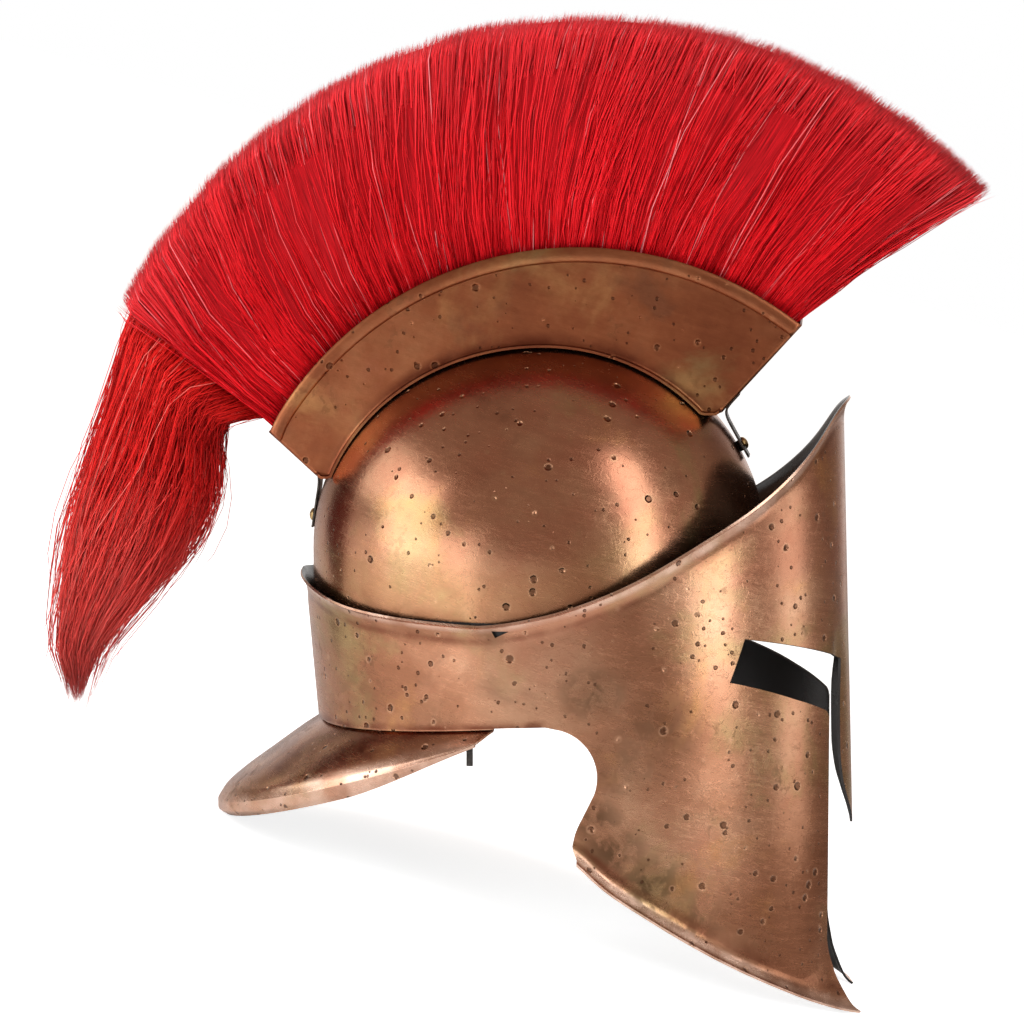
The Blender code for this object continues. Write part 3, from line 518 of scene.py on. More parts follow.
def make_copper(name, base, gloss, pits, grime_share):
    """Aged copper finish: low, middle and high tones, roughness, tarnish and pits, with painted shade and
    painted highlights laid on by marks and pit rims.
    """
    tree, shader = new_material(name)
    place = object_place(tree)
    tones = list(zip((0.36, 0.50, 0.64), base))
    colour = ramp_colour(tree, noise(tree, place, 10.0, 6.0, 0.62), tones)
    for shift, scale, start, end, strength, stain in STAINS:
        patch = patches(tree, compute_vector(tree, "ADD", place, shift), scale, start, end)
        colour = layer_colour(tree, compute(tree, "MULTIPLY", patch, strength), colour, stain)
    streaks = use_group(tree, "Brushed", place, Scale=60.0)["Streaks"]
    colour = layer_colour(tree, 1.0, colour, spread(tree, streaks, 0.3, 0.7, 0.90, 1.10), "MULTIPLY")
    specks = patches(tree, place, 230.0, 0.50, 0.60)
    grime = compute(tree, "MULTIPLY", patches(tree, place, 26.0, 0.52, 0.70), specks)
    age = attribute(tree, "age")
    aged = compute(tree, "MULTIPLY", age, patches(tree, place, 90.0, 0.44, 0.58))
    tarnish = compute(tree, "MAXIMUM", compute(tree, "MULTIPLY", grime, grime_share), aged)
    colour = layer_colour(tree, compute(tree, "MULTIPLY", age, 0.55), colour, rgb(0.16, 0.088, 0.045))
    colour = layer_colour(tree, compute(tree, "MULTIPLY", tarnish, 0.8), colour, rgb(0.085, 0.050, 0.026))
    uneven = spread(tree, noise(tree, place, 60.0, 4.0), 0.35, 0.6, 0.25, 1.0)
    # The dark mark is painted shade; the bright mark is worn edges with a painted highlight on them.
    for mark, tint in (("painted_shade", rgb(0.15, 0.035, 0.018)), ("worn", rgb(0.95, 0.66, 0.52))):
        colour = layer_colour(tree, compute(tree, "MULTIPLY", attribute(tree, mark), uneven), colour, tint)
    colour = layer_colour(tree, attribute(tree, "warm"), colour, rgb(0.58, 0.40, 0.13))
    large = use_group(tree, "Pits", place, Scale=100.0, Amount=pits, Size=0.20)
    little = use_group(tree, "Pits", place, Scale=190.0, Amount=pits * 0.6, Size=0.19)
    pitted = compute(tree, "MAXIMUM", large["Mask"], little["Mask"])
    colour = layer_colour(tree, compute(tree, "MULTIPLY", pitted, 0.72), colour, rgb(0.11, 0.045, 0.025))
    # Painted highlight on the rims of the large pits.
    colour = layer_colour(tree, compute(tree, "MULTIPLY", large["Rim"], 0.45), colour, base[2])
    rough = spread(tree, streaks, 0.3, 0.7, gloss * 0.82, gloss * 1.2)
    rough = compute(tree, "MULTIPLY_ADD", tarnish, 0.28, rough)
    waves = bump(tree, noise(tree, place, 24.0, 2.0), 0.14, 0.002)
    dents = compute(tree, "ADD", large["Height"], little["Height"])
    dented = bump(tree, dents, 1.0, 0.0009, Normal=waves)
    grainy = bump(tree, specks, 0.10, 0.0002, Normal=dented)
    set_inputs(tree, shader, {"Base Color": colour, "Roughness": rough, "Metallic": 1.0, "Normal": grainy})


def make_black_inside():
    tree, shader = new_material("black_inside")
    place = object_place(tree)
    wear = patches(tree, place, 26.0, 0.55, 0.8)
    colour = plain_colour(tree, rgb(0.022, 0.019, 0.018))
    colour = layer_colour(tree, compute(tree, "MULTIPLY", wear, 0.5), colour, rgb(0.05, 0.042, 0.038))
    rough = spread(tree, wear, 0.0, 1.0, 0.26, 0.5)
    uneven = bump(tree, noise(tree, place, 420.0, 2.0), 0.25, 0.0002)
    set_inputs(tree, shader, {"Base Color": colour, "Roughness": rough, "Normal": uneven})


def make_plain_metal(name, clean, dirty, gloss):
    tree, shader = new_material(name)
    dirt = patches(tree, object_place(tree), 320.0, 0.42, 0.7)
    colour = layer_colour(tree, dirt, plain_colour(tree, clean), dirty)
    rough = spread(tree, dirt, 0.0, 1.0, gloss, gloss + 0.25)
    uneven = bump(tree, dirt, 0.3, 0.0001)
    set_inputs(tree, shader, {"Base Color": colour, "Roughness": rough, "Metallic": 1.0, "Normal": uneven})


def make_hair(name, root, middle, bright, tip_share):
    """Dyed hair: each strand's own tone, painted glints on the palest strands, a painted sheen near the root
    and toward the tip, and dimmed where metal mirrors it.
    """
    tree, shader = new_material(name)
    tone = attribute(tree, "tone")
    along = attribute(tree, "along")
    colour = ramp_colour(tree, tone, [(0.0, root), (0.5, middle), (0.90, middle), (1.0, bright)])
    # Painted sheen: a little brighter near the root.
    colour = layer_colour(tree, 1.0, colour, spread(tree, along, 0.0, 0.22, 1.12, 1.0), "MULTIPLY")
    # Painted sheen: paler toward the tip.
    colour = layer_colour(tree, spread(tree, along, 0.45, 1.0, 0.0, tip_share), colour, bright)
    mirrored = add_node(tree, "LightPath").outputs["Is Glossy Ray"]
    colour = layer_colour(tree, 1.0, colour, spread(tree, mirrored, 0.0, 1.0, 1.0, 0.35), "MULTIPLY")
    rough = spread(tree, tone, 0.0, 1.0, 0.55, 0.36)
    set_inputs(tree, shader, {"Base Color": colour, "Roughness": rough, "Specular IOR Level": 0.12})


def make_hair_bed(name, dark, light):
    """The hair mass under the strands, streaked the way the hair lies."""
    tree, shader = new_material(name)
    place = add_node(tree, "UVMap", uv_map="lie").outputs["UV"]
    lengthwise = add_node(tree, "Mapping", {"Vector": place, "Scale": (900.0, 4.0, 1.0)}).outputs["Vector"]
    strands = noise(tree, lengthwise, 1.0, 4.0, 0.6)
    values = {"Base Color": ramp_colour(tree, strands, [(0.3, dark), (0.7, light)]), "Roughness": 0.6}
    values.update({"Specular IOR Level": 0.1, "Normal": bump(tree, strands, 0.6, 0.0008)})
    set_inputs(tree, shader, values)


def make_lace_leather():
    tree, shader = new_material("lace_leather")
    grain = noise(tree, object_place(tree), 900.0, 3.0)
    tones = [(0.3, rgb(0.02, 0.018, 0.016)), (0.75, rgb(0.07, 0.058, 0.05))]
    values = {"Base Color": ramp_colour(tree, grain, tones), "Roughness": 0.62}
    set_inputs(tree, shader, {**values, "Normal": bump(tree, grain, 0.5, 0.0002)})


# Mask

def rim_height(turn):
    degrees = abs(math.degrees(turn))
    spread = np.array((-1.0, -0.5, 0.0, 0.5, 1.0))
    if degrees <= RIM_FRONT[-1][0]:
        share = float(curve_through(RIM_FRONT, np.abs(degrees + 4.0 * spread)).mean())
        height = mix(RIM_LOW, BROW_TOP, share)
    else:
        share = float(curve_through(RIM_BACK, degrees + 5.0 * spread).mean())
        height = mix(RIM_LOW, RIM_REAR, share)
    across = MASK_HALF_WIDTH * math.sin(turn)
    return height - RIM_ROLL * across * ramp(0.0, 1.0, math.cos(turn))


def cheek_height(turn):
    degrees = abs(math.degrees(turn))
    spread = np.array((-1.0, -0.5, 0.0, 0.5, 1.0))
    return mix(CHEEK_CORNER, CHEEK_TIP, float(curve_through(CHEEK_EDGE, degrees + 3.0 * spread).mean()))


def mask_reach(turn, height):
    if math.cos(turn) > 0:
        return MASK_FRONT - FRONT_LEAN * max(height, EYE_INNER_TOP)
    return MASK_REAR - REAR_LEAN * max(0.0, REAR_LEAN_TOP - height)


def nose_bend(across, height):
    """How far the nasal bends back from the mask's own curve."""
    if height > EYE_INNER_TOP + NASAL_HALF_WIDTH:
        return 0.0
    plan_radius = MASK_HALF_WIDTH ** 2 / MASK_FRONT
    narrow = min(abs(across), NASAL_HALF_WIDTH * 1.15)
    bend = narrow ** 2 / 2.0 * (1.0 / NASAL_RADIUS - 1.0 / plan_radius)
    twist = NASAL_TWIST * math.copysign(narrow, across)
    sink = ramp(EYE_INNER_TOP + NASAL_HALF_WIDTH, EYE_INNER_TOP - NASAL_HALF_WIDTH, height)
    fade = 1.0 - ramp(NASAL_HALF_WIDTH * 1.15, FACE_HALF_GAP * 0.97, abs(across))
    forward = FRONT_LEAN * max(0.0, EYE_INNER_TOP - height)
    return (bend + twist) * sink * fade - forward * fade


def mask_point(turn, height, flare=0.0):
    """Point of the mask's outer face, pushed out by a flare."""
    reach = mask_reach(turn, height)
    across = MASK_HALF_WIDTH * math.sin(turn)
    ahead = reach * math.cos(turn)
    outward = Vector((across / MASK_HALF_WIDTH ** 2, -ahead / reach ** 2, 0.0)).normalized()
    point = Vector((across, -ahead, height)) + outward * flare
    if ahead > 0.0:
        point.y += nose_bend(across, height)
    return point


def band_bottom(turn):
    back = max(0.0, -math.cos(turn))
    return mix(BAND_BOTTOM_SIDE, BAND_BOTTOM_REAR, back ** 1.2)


def mask_surface(around, up):
    """Point of the mask by its share of a turn and its share of the height."""
    turn = math.tau * (around - 0.5)
    top = rim_height(turn)
    low = cheek_height(turn)
    near_tip = 1.0 - ramp(TIP_TURN * 0.45, TIP_TURN * 1.3, abs(turn))
    lip_height = mix(CHEEK_LIP_HEIGHT, TIP_LIP_HEIGHT, near_tip)
    lip_flare = mix(CHEEK_LIP_FLARE, TIP_LIP_FLARE, near_tip)
    if up > 1.0 - RIM_ROWS:
        share = ((1.0 - up) / RIM_ROWS) ** LIP_SPACING
        flare = float(curve_through(LIP_SECTION, share))
        return mask_point(turn, top - RIM_LIP_HEIGHT * share, RIM_LIP_FLARE * flare)
    if up < LIP_ROWS:
        share = (up / LIP_ROWS) ** LIP_SPACING
        flare = float(curve_through(LIP_SECTION, share))
        return mask_point(turn, low + lip_height * share, lip_flare * flare)
    share = (up - LIP_ROWS) / WALL_ROWS
    return mask_point(turn, mix(low + lip_height, top - RIM_LIP_HEIGHT, share))


def arc(centre, radius, start, end, steps):
    points = []
    for step in range(steps + 1):
        angle = math.radians(mix(start, end, step / steps))
        points.append((centre[0] + radius * math.cos(angle), centre[1] + radius * math.sin(angle)))
    return points


def rounded(outline, first, last, rounds=2):
    """Cut the corners of part of an outline again and again, which rounds them."""
    part = outline[first:last]
    for _ in range(rounds):
        finer = [part[0]]
        for here, there in zip(part, part[1:]):
            finer.append((mix(here[0], there[0], 0.25), mix(here[1], there[1], 0.25)))
            finer.append((mix(here[0], there[0], 0.75), mix(here[1], there[1], 0.75)))
        part = finer + [part[-1]]
    return outline[:first] + part + outline[last:]


def notch_outline():
    """What is cut away below the band and behind the cheek, seen from the side."""
    far = 2.0 * MASK_REAR
    outline = []
    for degrees in range(180, 93, -6):
        turn = math.radians(degrees)
        outline.append((-MASK_REAR * math.cos(turn), band_bottom(turn)))
    outline[0] = (far, outline[0][1])
    outline.append((NOTCH_START, BAND_BOTTOM_SIDE))
    outline += arc((-NOTCH_FRONT + NOTCH_ROUND, NOTCH_MID), NOTCH_ROUND, 100, 200, 16)[1:]
    lower = [
        (-mix(NOTCH_CORNER, NOTCH_FRONT, 0.50), mix(CHEEK_CORNER, NOTCH_MID, 0.50)),
        (-mix(NOTCH_CORNER, NOTCH_FRONT, 0.12), mix(CHEEK_CORNER, NOTCH_MID, 0.25)),
        (-NOTCH_CORNER, mix(CHEEK_CORNER, NOTCH_MID, 0.08)),
        (-NOTCH_CORNER * 0.98, CHEEK_CORNER),
        (-NOTCH_CORNER * 1.10, CHEEK_CORNER - CHEEK_LIP_HEIGHT * 0.6),
    ]
    outline += rounded([outline[-1]] + lower, 0, 6)[1:]
    outline += [(-NOTCH_CORNER * 1.10, 2.0 * CHEEK_TIP), (far, 2.0 * CHEEK_TIP)]
    return outline


def half_face_outline():
    """Left half of the face opening: nasal edge, eye, then the cheek's edge."""
    length = EYE_INNER_TOP - NASAL_TIP
    shares = np.linspace(0.94, 0.0, 24)
    widths = curve_through(NASAL_OUTLINE, shares)
    nasal = [
        (NASAL_HALF_WIDTH * width, EYE_INNER_TOP - length * share)
        for share, width in zip(shares, widths)
    ]
    low = [
        EYE_OUTER_LOW,
        (mix(EYE_OUTER_LOW[0], FACE_HALF_GAP, 0.5), mix(EYE_OUTER_LOW[1], EYE_INNER_LOW, 0.60)),
        (FACE_HALF_GAP + EYE_CORNER, EYE_INNER_LOW),
        (FACE_HALF_GAP + EYE_CORNER * 0.3, EYE_INNER_LOW - EYE_CORNER * 0.3),
        (FACE_HALF_GAP, EYE_INNER_LOW - EYE_CORNER),
    ]
    eye = [EYE_OUTER_TOP] + rounded(low, 1, 5)
    tip_start = mix(EYE_INNER_LOW, CHEEK_TIP, 0.75)
    cheek = [(FACE_HALF_GAP, tip_start), (TIP_HALF_GAP, CHEEK_TIP + TIP_LIP_HEIGHT * 0.4)]
    cheek.append((TIP_HALF_GAP * 0.9, 2.0 * CHEEK_TIP))
    return nasal + eye + rounded(cheek, 0, 3)


def face_outline():
    left = half_face_outline()
    right = [(-across, up) for across, up in reversed(left)]
    return [(0.0, NASAL_TIP)] + left + right


def slot_outline():
    top = rim_height(math.radians(101.0)) - SLOT_DROP
    return [
        (SLOT_PLACE - SLOT_LENGTH / 2, top),
        (SLOT_PLACE + SLOT_LENGTH / 2, top),
        (SLOT_PLACE + SLOT_LENGTH * 0.3, top - SLOT_HEIGHT),
    ]


def paint(piece, name, values):
    mark = piece.data.attributes.new(name, "FLOAT", "POINT")
    mark.data.foreach_set("value", np.clip(values, 0.0, 1.0).astype(np.float32))


def paint_wear(piece, places, painted_shade, warm=None, wear_and_highlight=None):
    """Mark tarnish by (centre, reach, strength), and by rules painted shade, warm places and worn edges that
    also carry a painted highlight.
    """
    corners = np.array([corner.co for corner in piece.data.vertices])
    worn = np.zeros(len(corners))
    for centre, reach, strength in places:
        away = np.linalg.norm((corners - np.array(centre)) / np.array(reach), axis=1)
        worn = np.maximum(worn, strength * np.clip(1.0 - away, 0.0, 1.0) ** 0.8)
    paint(piece, "age", worn)
    paint(piece, "painted_shade", np.array([painted_shade(*corner) for corner in corners]))
    paint(piece, "warm", np.array([warm(*corner) if warm else 0.0 for corner in corners]))
    paint(piece, "worn", np.array([wear_and_highlight(*corner) if wear_and_highlight else 0.0 for corner in corners]))


def turn_at(x, y):
    return math.atan2(abs(x) / MASK_HALF_WIDTH, -y / (MASK_FRONT if y < 0 else MASK_REAR))


def mask_wear_and_highlight(x, y, z):
    """Bright line along the lips: finish worn off by handling, and a painted highlight."""
    turn = turn_at(x, y)
    bright = 0.75 * (1.0 - ramp(0.5, 4.0, (rim_height(turn) - z) / MM))
    if y < NOTCH_START and z < CHEEK_CORNER * 0.95:
        bright = max(bright, 1.0 - ramp(1.5, 7.0, (z - cheek_height(turn)) / MM))
    return bright


def mask_painted_shade(x, y, z):
    """Painted shade: a dark line under the rim's lip, above the cheek's lip and along the band's foot."""
    turn = turn_at(x, y)
    under = (rim_height(turn) - RIM_LIP_HEIGHT * 0.75 - z) / MM
    dark = 0.6 * (1.0 - ramp(0.0, 3.0, abs(under)))
    if y > NOTCH_START:
        dark = max(dark, 0.85 * (1.0 - ramp(0.5, 4.0, (z - band_bottom(turn)) / MM)))
    elif z < CHEEK_CORNER:
        over = (z - cheek_height(turn) - CHEEK_LIP_HEIGHT * 1.1) / MM
        dark = max(dark, 0.7 * (1.0 - ramp(0.0, 3.5, abs(over))))
    return dark


def add_metals(piece, *names):
    for name in names:
        piece.data.materials.append(looks[name])


def build_mask():
    mask = flat_sheet("mask_sheet", 264, 64)
    bend_sheet(mask, mask_surface, Vector())
    add_metals(mask, "mask_copper", "black_inside")
    add_wall(mask)
    wide = 2.0 * MASK_HALF_WIDTH
    notch = cutter_from("notch_cutter", notch_outline(), -wide, wide, side_view)
    face = cutter_from("face_cutter", face_outline(), -2.0 * MASK_FRONT, -0.5 * MASK_FRONT,
                       front_view, "black_inside")
    slot = cutter_from("slot_cutter", slot_outline(), -wide, wide, side_view, "black_inside")
    cut_away(mask, (notch, face))
    break_edges(mask)
    cut_away(mask, (slot,))
    cheek = 0.95 * MASK_HALF_WIDTH
    places = []
    for side in (-1.0, 1.0):
        for back, up, reach, strength in MASK_TARNISH:
            centre = (side * cheek, back * MM, up * MM)
            places.append((centre, (90 * MM, reach * MM, reach * 0.8 * MM), strength))
    paint_wear(mask, places, mask_painted_shade, None, mask_wear_and_highlight)
    finish_piece(mask, ["mask"])


# Skull

def skull_rear():
    return mask_reach(math.pi, SKULL_BOTTOM) - SHEET - GAP - FLAT_ROOM


def skull_half_width():
    return MASK_HALF_WIDTH - SHEET - GAP - FLAT_ROOM


def skull_top(ahead, across):
    reach = SKULL_FRONT if ahead < 0 else skull_rear()
    left = 1.0 - (ahead / reach) ** 2 - (across / skull_half_width()) ** 2
    return SKULL_EQUATOR + SKULL_HEIGHT * math.sqrt(max(0.0, left))


def skull_rim(x, y):
    """Height of the mask's rim beside a place on the skull."""
    return rim_height(turn_at(x, y))


def near_rim(x, y, z, above, reach):
    """How near a place on the skull is to a line above the rim that the skull stands in."""
    beside = ramp(-70.0 * MM, -20.0 * MM, y)
    return beside * (1.0 - ramp(0.0, reach, abs(z - skull_rim(x, y) - above * MM) / MM))


def build_skull():
    deselect_everything()
    bpy.ops.mesh.primitive_uv_sphere_add(segments=120, ring_count=72, radius=1.0)
    skull = bpy.context.object
    skull.name = "skull_sheet"
    start_editing(skull)
    bpy.ops.mesh.bisect(plane_co=(0, 0, 0), plane_no=(0, 0, 1), clear_inner=True, threshold=0.0001)
    bpy.ops.object.mode_set(mode="OBJECT")
    for corner in skull.data.vertices:
        x, y, z = corner.co
        reach = SKULL_FRONT if y < 0 else skull_rear()
        corner.co = (x * skull_half_width(), y * reach, SKULL_EQUATOR + z * SKULL_HEIGHT)
    make_active(skull)
    bpy.ops.object.mode_set(mode="EDIT")
    bpy.ops.mesh.select_mode(type="EDGE")
    bpy.ops.mesh.select_all(action="DESELECT")
    bpy.ops.mesh.select_non_manifold()
    skirt = (SKULL_EQUATOR - SKULL_BOTTOM) / 6.0
    for _ in range(6):
        bpy.ops.mesh.extrude_region_move(TRANSFORM_OT_translate={"value": (0.0, 0.0, -skirt)})
    end_editing()
    face_outward(skull, Vector())
    add_metals(skull, "dome_copper", "black_inside")
    add_wall(skull)
    break_edges(skull)
    # Painted shade along the line where the skull stands in the mask's rim, and a warm tint a little above
    # it.
    paint_wear(
        skull, [], lambda x, y, z: 0.8 * near_rim(x, y, z, 0.0, 7.0),
        lambda x, y, z: 0.15 * near_rim(x, y, z, 12.0, 24.0),
    )
    # Painted shade: the skull below the mask's rim takes the black inside finish, so the slot shows dark.
    for face in skull.data.polygons:
        if face.center.z < RIM_LOW - 1.2 * MM:
            face.material_index = 1
    finish_piece(skull, ["skull"])


# Neck guard

def guard_surface(around, down):
    share = 1.0 - 2.0 * around
    band_end = math.pi - math.acos(GUARD_FRONT / MASK_REAR)
    turn = math.pi - share * (math.pi - band_end)
    height = band_bottom(turn)
    seat = mask_point(turn, height, -(SHEET + GAP + FLAT_ROOM))
    swing = share * math.radians(87.0)
    rear = mask_reach(math.pi, BAND_BOTTOM_REAR) + GUARD_REACH
    drop = mix(GUARD_DROP_END, GUARD_DROP_REAR, math.cos(swing) ** GUARD_DROP_POWER)
    rim = Vector((
        GUARD_HALF_WIDTH * math.sin(swing),
        mix(GUARD_FRONT, rear, math.cos(swing)),
        height - drop,
    ))
    below = seat.z - GAP - FLAT_ROOM
    lip_height = GUARD_LIP * mix(1.0, GUARD_LIP_END, ramp(GUARD_LIP_START, 1.0, abs(share)))
    if down < 0.2:
        return Vector((seat.x, seat.y, mix(seat.z + GUARD_FLANGE, below, down / 0.2)))
    place = (down - 0.2) / 0.8 * (len(GUARD_SECTION) - 1)
    rows = [(step, *row) for step, row in enumerate(GUARD_SECTION)]
    out, plate, lip = (float(curve_through(rows, place, column)) for column in (1, 2, 3))
    return Vector((
        mix(seat.x, rim.x, out),
        mix(seat.y, rim.y, out),
        mix(below, rim.z, plate) - lip_height * lip,
    ))


def guard_away(x, y):
    """Share of the way from the guard's middle to its outer edge."""
    back = max(0.0, y - GUARD_FRONT) / (MASK_REAR + GUARD_REACH - GUARD_FRONT)
    return math.hypot(x / GUARD_HALF_WIDTH, back)


# Bright outer edge of the guard: worn finish and a painted highlight.
def guard_wear_and_highlight(x, y, z):
    return 0.7 * ramp(0.93, 0.98, guard_away(x, y)) if y > GUARD_FRONT * 1.3 else 0.0


def guard_painted_shade(x, y, z):
    """Painted shade: a deep brown plate for the band's dark reflection, paler along its outer edge."""
    return 0.62 * (1.0 - ramp(0.88, 0.95, guard_away(x, y))) if y > GUARD_FRONT else 0.5


def build_neck_guard():
    guard = flat_sheet("neck_guard_sheet", 140, 44)
    bend_sheet(guard, guard_surface, Vector((0.0, 0.0, CHEEK_TIP)))
    add_metals(guard, "mask_copper", "black_inside")
    add_wall(guard)
    break_edges(guard)
    paint_wear(guard, [], guard_painted_shade, None, guard_wear_and_highlight)
    finish_piece(guard, ["neck_guard"])


# Crest box

def circle_through(first, middle, last):
    (ax, ay), (bx, by), (cx, cy) = first, middle, last
    twice = 2.0 * (ax * (by - cy) + bx * (cy - ay) + cx * (ay - by))
    a2, b2, c2 = ax * ax + ay * ay, bx * bx + by * by, cx * cx + cy * cy
    x = (a2 * (by - cy) + b2 * (cy - ay) + c2 * (ay - by)) / twice
    y = (a2 * (cx - bx) + b2 * (ax - cx) + c2 * (bx - ax)) / twice
    return (x, y), math.hypot(ax - x, ay - y)


def box_top(share):
    crown = (mix(BOX_REAR_TOP[0], BOX_FRONT_TOP[0], 0.55), BOX_CROWN)
    centre, radius = circle_through(BOX_REAR_TOP, crown, BOX_FRONT_TOP)
    start = math.atan2(BOX_REAR_TOP[1] - centre[1], BOX_REAR_TOP[0] - centre[0])
    end = math.atan2(BOX_FRONT_TOP[1] - centre[1], BOX_FRONT_TOP[0] - centre[0])
    angle = mix(start, end, share)
    return centre[0] + radius * math.cos(angle), centre[1] + radius * math.sin(angle)


def box_low(share):
    spread = 2.3
    place = 0.5 + 0.5 * math.sin(spread * (share - 0.5)) / math.sin(spread / 2.0)
    back = mix(BOX_REAR_LOW[0], BOX_FRONT_LOW[0], place)
    corner = BOX_REAR_LOW[1] if back > 0 else BOX_FRONT_LOW[1]
    return back, max(skull_top(back, BOX_HALF_WIDTH) + SHEET + GAP + FLAT_ROOM, corner)


BOX_STEPS = 90


def box_columns():
    """Places round the box: share of the run, sideways, ahead of its end, facing."""
    flat = BOX_HALF_WIDTH - BOX_CORNER
    columns = []
    for end, side in ((1.0, 1.0), (0.0, -1.0)):
        for step in range(BOX_STEPS + 1):
            along = mix(0.03, 0.97, step / BOX_STEPS)
            share = along if end else 1.0 - along
            columns.append((share, side * BOX_HALF_WIDTH, 0.0, (side, 0.0)))
        for step in range(31):
            if 7 <= step <= 23:
                columns.append((end, side * mix(flat, -flat, (step - 7) / 16), 0.0, (0.0, 1.0)))
                continue
            turn = math.pi / 2.0 * (step if step < 7 else 30 - step) / 7.0
            hand = side if step < 7 else -side
            facing = (hand * math.cos(turn), math.sin(turn))
            ahead = BOX_CORNER * (facing[1] - 1.0)
            columns.append((end, hand * (flat + BOX_CORNER * abs(facing[0])), ahead, facing))
    return columns + columns[:1]


def box_rows():
    """Section of the wall: share of its height, millimetres up from there, and out."""
    rows = [(0.0, 0.0, 2.6), (0.0, 0.06, 2.0), (0.0, 0.18, 1.4), (0.0, 0.42, 0.85)]
    rows += [(0.0, 0.85, 0.4), (0.0, 1.5, 0.12), (0.0, 2.3, 0.0)]
    rows += [(step / 16.0, mix(2.3, -BEAD_HEIGHT / MM - 0.7, step / 16.0), 0.0) for step in range(1, 17)]
    for step in range(13):
        turn = BEAD_TURN * step / 12
        up = (1.0 - math.cos(turn)) / (1.0 - math.cos(BEAD_TURN))
        rows.append((1.0, BEAD_HEIGHT / MM * (up - 1.0), BEAD_PROUD / MM * math.sin(turn)))
    return rows


def box_point(column, row):
    share, across, ahead, facing = column
    low = Vector((0.0, *box_low(share)))
    top = Vector((0.0, *box_top(share)))
    rise = (top - low).normalized()
    beyond = Vector((0.0, rise.z, -rise.y)) * (-1.0 if share > 0.5 else 1.0)
    level, up, out = row
    point = low.lerp(top, level) + rise * up * MM + beyond * ahead
    point.x = across + facing[0] * out * MM
    return point


def box_painted_shade(x, y, z):
    """Painted shade along the wall's foot, and darker toward the box's ends."""
    share = np.interp(-y, [-BOX_REAR_LOW[0], -BOX_FRONT_LOW[0]], [0.0, 1.0])
    foot = skull_top(y, BOX_HALF_WIDTH) + SHEET + GAP + FLAT_ROOM
    dark = 0.75 * (1.0 - ramp(0.6, 5.0, abs(z - foot - 2.0 * MM) / MM))
    ends = min(share, 1.0 - share)
    return max(dark, 0.35 * (1.0 - ramp(0.0, 0.12, ends)))


def build_crest_box():
    columns, rows = box_columns(), box_rows()
    last = (len(columns) - 1, len(rows) - 1)
    points = [[box_point(column, row) for row in rows] for column in columns]
    box = flat_sheet("crest_box_sheet", *last)
    middle = Vector((0.0, 0.0, mix(SKULL_HEIGHT, BOX_CROWN, 0.5)))
    bend_sheet(box, lambda around, up: points[round(around * last[0])][round(up * last[1])], middle)
    add_metals(box, "box_copper", "black_inside")
    add_wall(box)
    break_edges(box)
    paint_wear(box, [], box_painted_shade)
    finish_piece(box, ["crest_box"])


# Brackets and fasteners

def foot_points(heights, side, clearance):
    points = []
    for height in heights:
        reach = SKULL_FRONT if side < 0 else skull_rear()
        level = (height - SKULL_EQUATOR) / SKULL_HEIGHT
        place = side * reach * math.sqrt(1.0 - level ** 2)
        out = Vector((0.0, place / reach ** 2, level / SKULL_HEIGHT)).normalized()
        points.append(Vector((0.0, place, height)) + out * clearance)
    return points


def bracket_path(low, top, heights, clearance):
    """The strap's inner face: up the box's end, round the corner, down to the skull."""
    side = -1 if low[0] < 0 else 1
    up = Vector((0.0, top[0] - low[0], top[1] - low[1])).normalized()
    out = Vector((0.0, up.z, -up.y)) * (-1.0 if side * up.z < 0 else 1.0)
    corner = Vector((0.0, *low)) + out * GAP
    feet = foot_points(heights, side, clearance)
    bend = corner - up * SHEET
    path = [corner + up * BRACKET_LEG, corner + up * BRACKET_LEG * 0.2]
    path.append(bend.lerp(feet[0], 0.12) + out * GAP)
    return path + feet


def smooth_path(path, steps):
    """The same path with its bends rounded, without leaving its own straight runs."""
    finer = list(path)
    for _ in range(3):
        cut = [finer[0]]
        for here, there in zip(finer, finer[1:]):
            cut.append(here.lerp(there, 0.25))
            cut.append(here.lerp(there, 0.75))
        finer = cut + [finer[-1]]
    run = np.cumsum([0.0] + [(b - a).length for a, b in zip(finer, finer[1:])])
    places = np.linspace(0.0, run[-1], steps)
    points = np.array(finer)
    return [Vector([np.interp(place, run, points[:, axis]) for axis in range(3)]) for place in places]


BRACKET_STEPS = 40


def build_bracket(name, path):
    points = smooth_path(path, BRACKET_STEPS + 1)
    strap = flat_sheet(name + "_strap", BRACKET_STEPS, 6)

    def surface(along, across):
        point = points[round(along * BRACKET_STEPS)].copy()
        point.x = (across - 0.5) * BRACKET_WIDTH
        return point

    bend_sheet(strap, surface, Vector())
    add_metals(strap, "dark_steel_finish")
    add_wall(strap, BRACKET_SHEET, 1.0)
    break_edges(strap, 0.2 * MM)
    finish_piece(strap, [name])


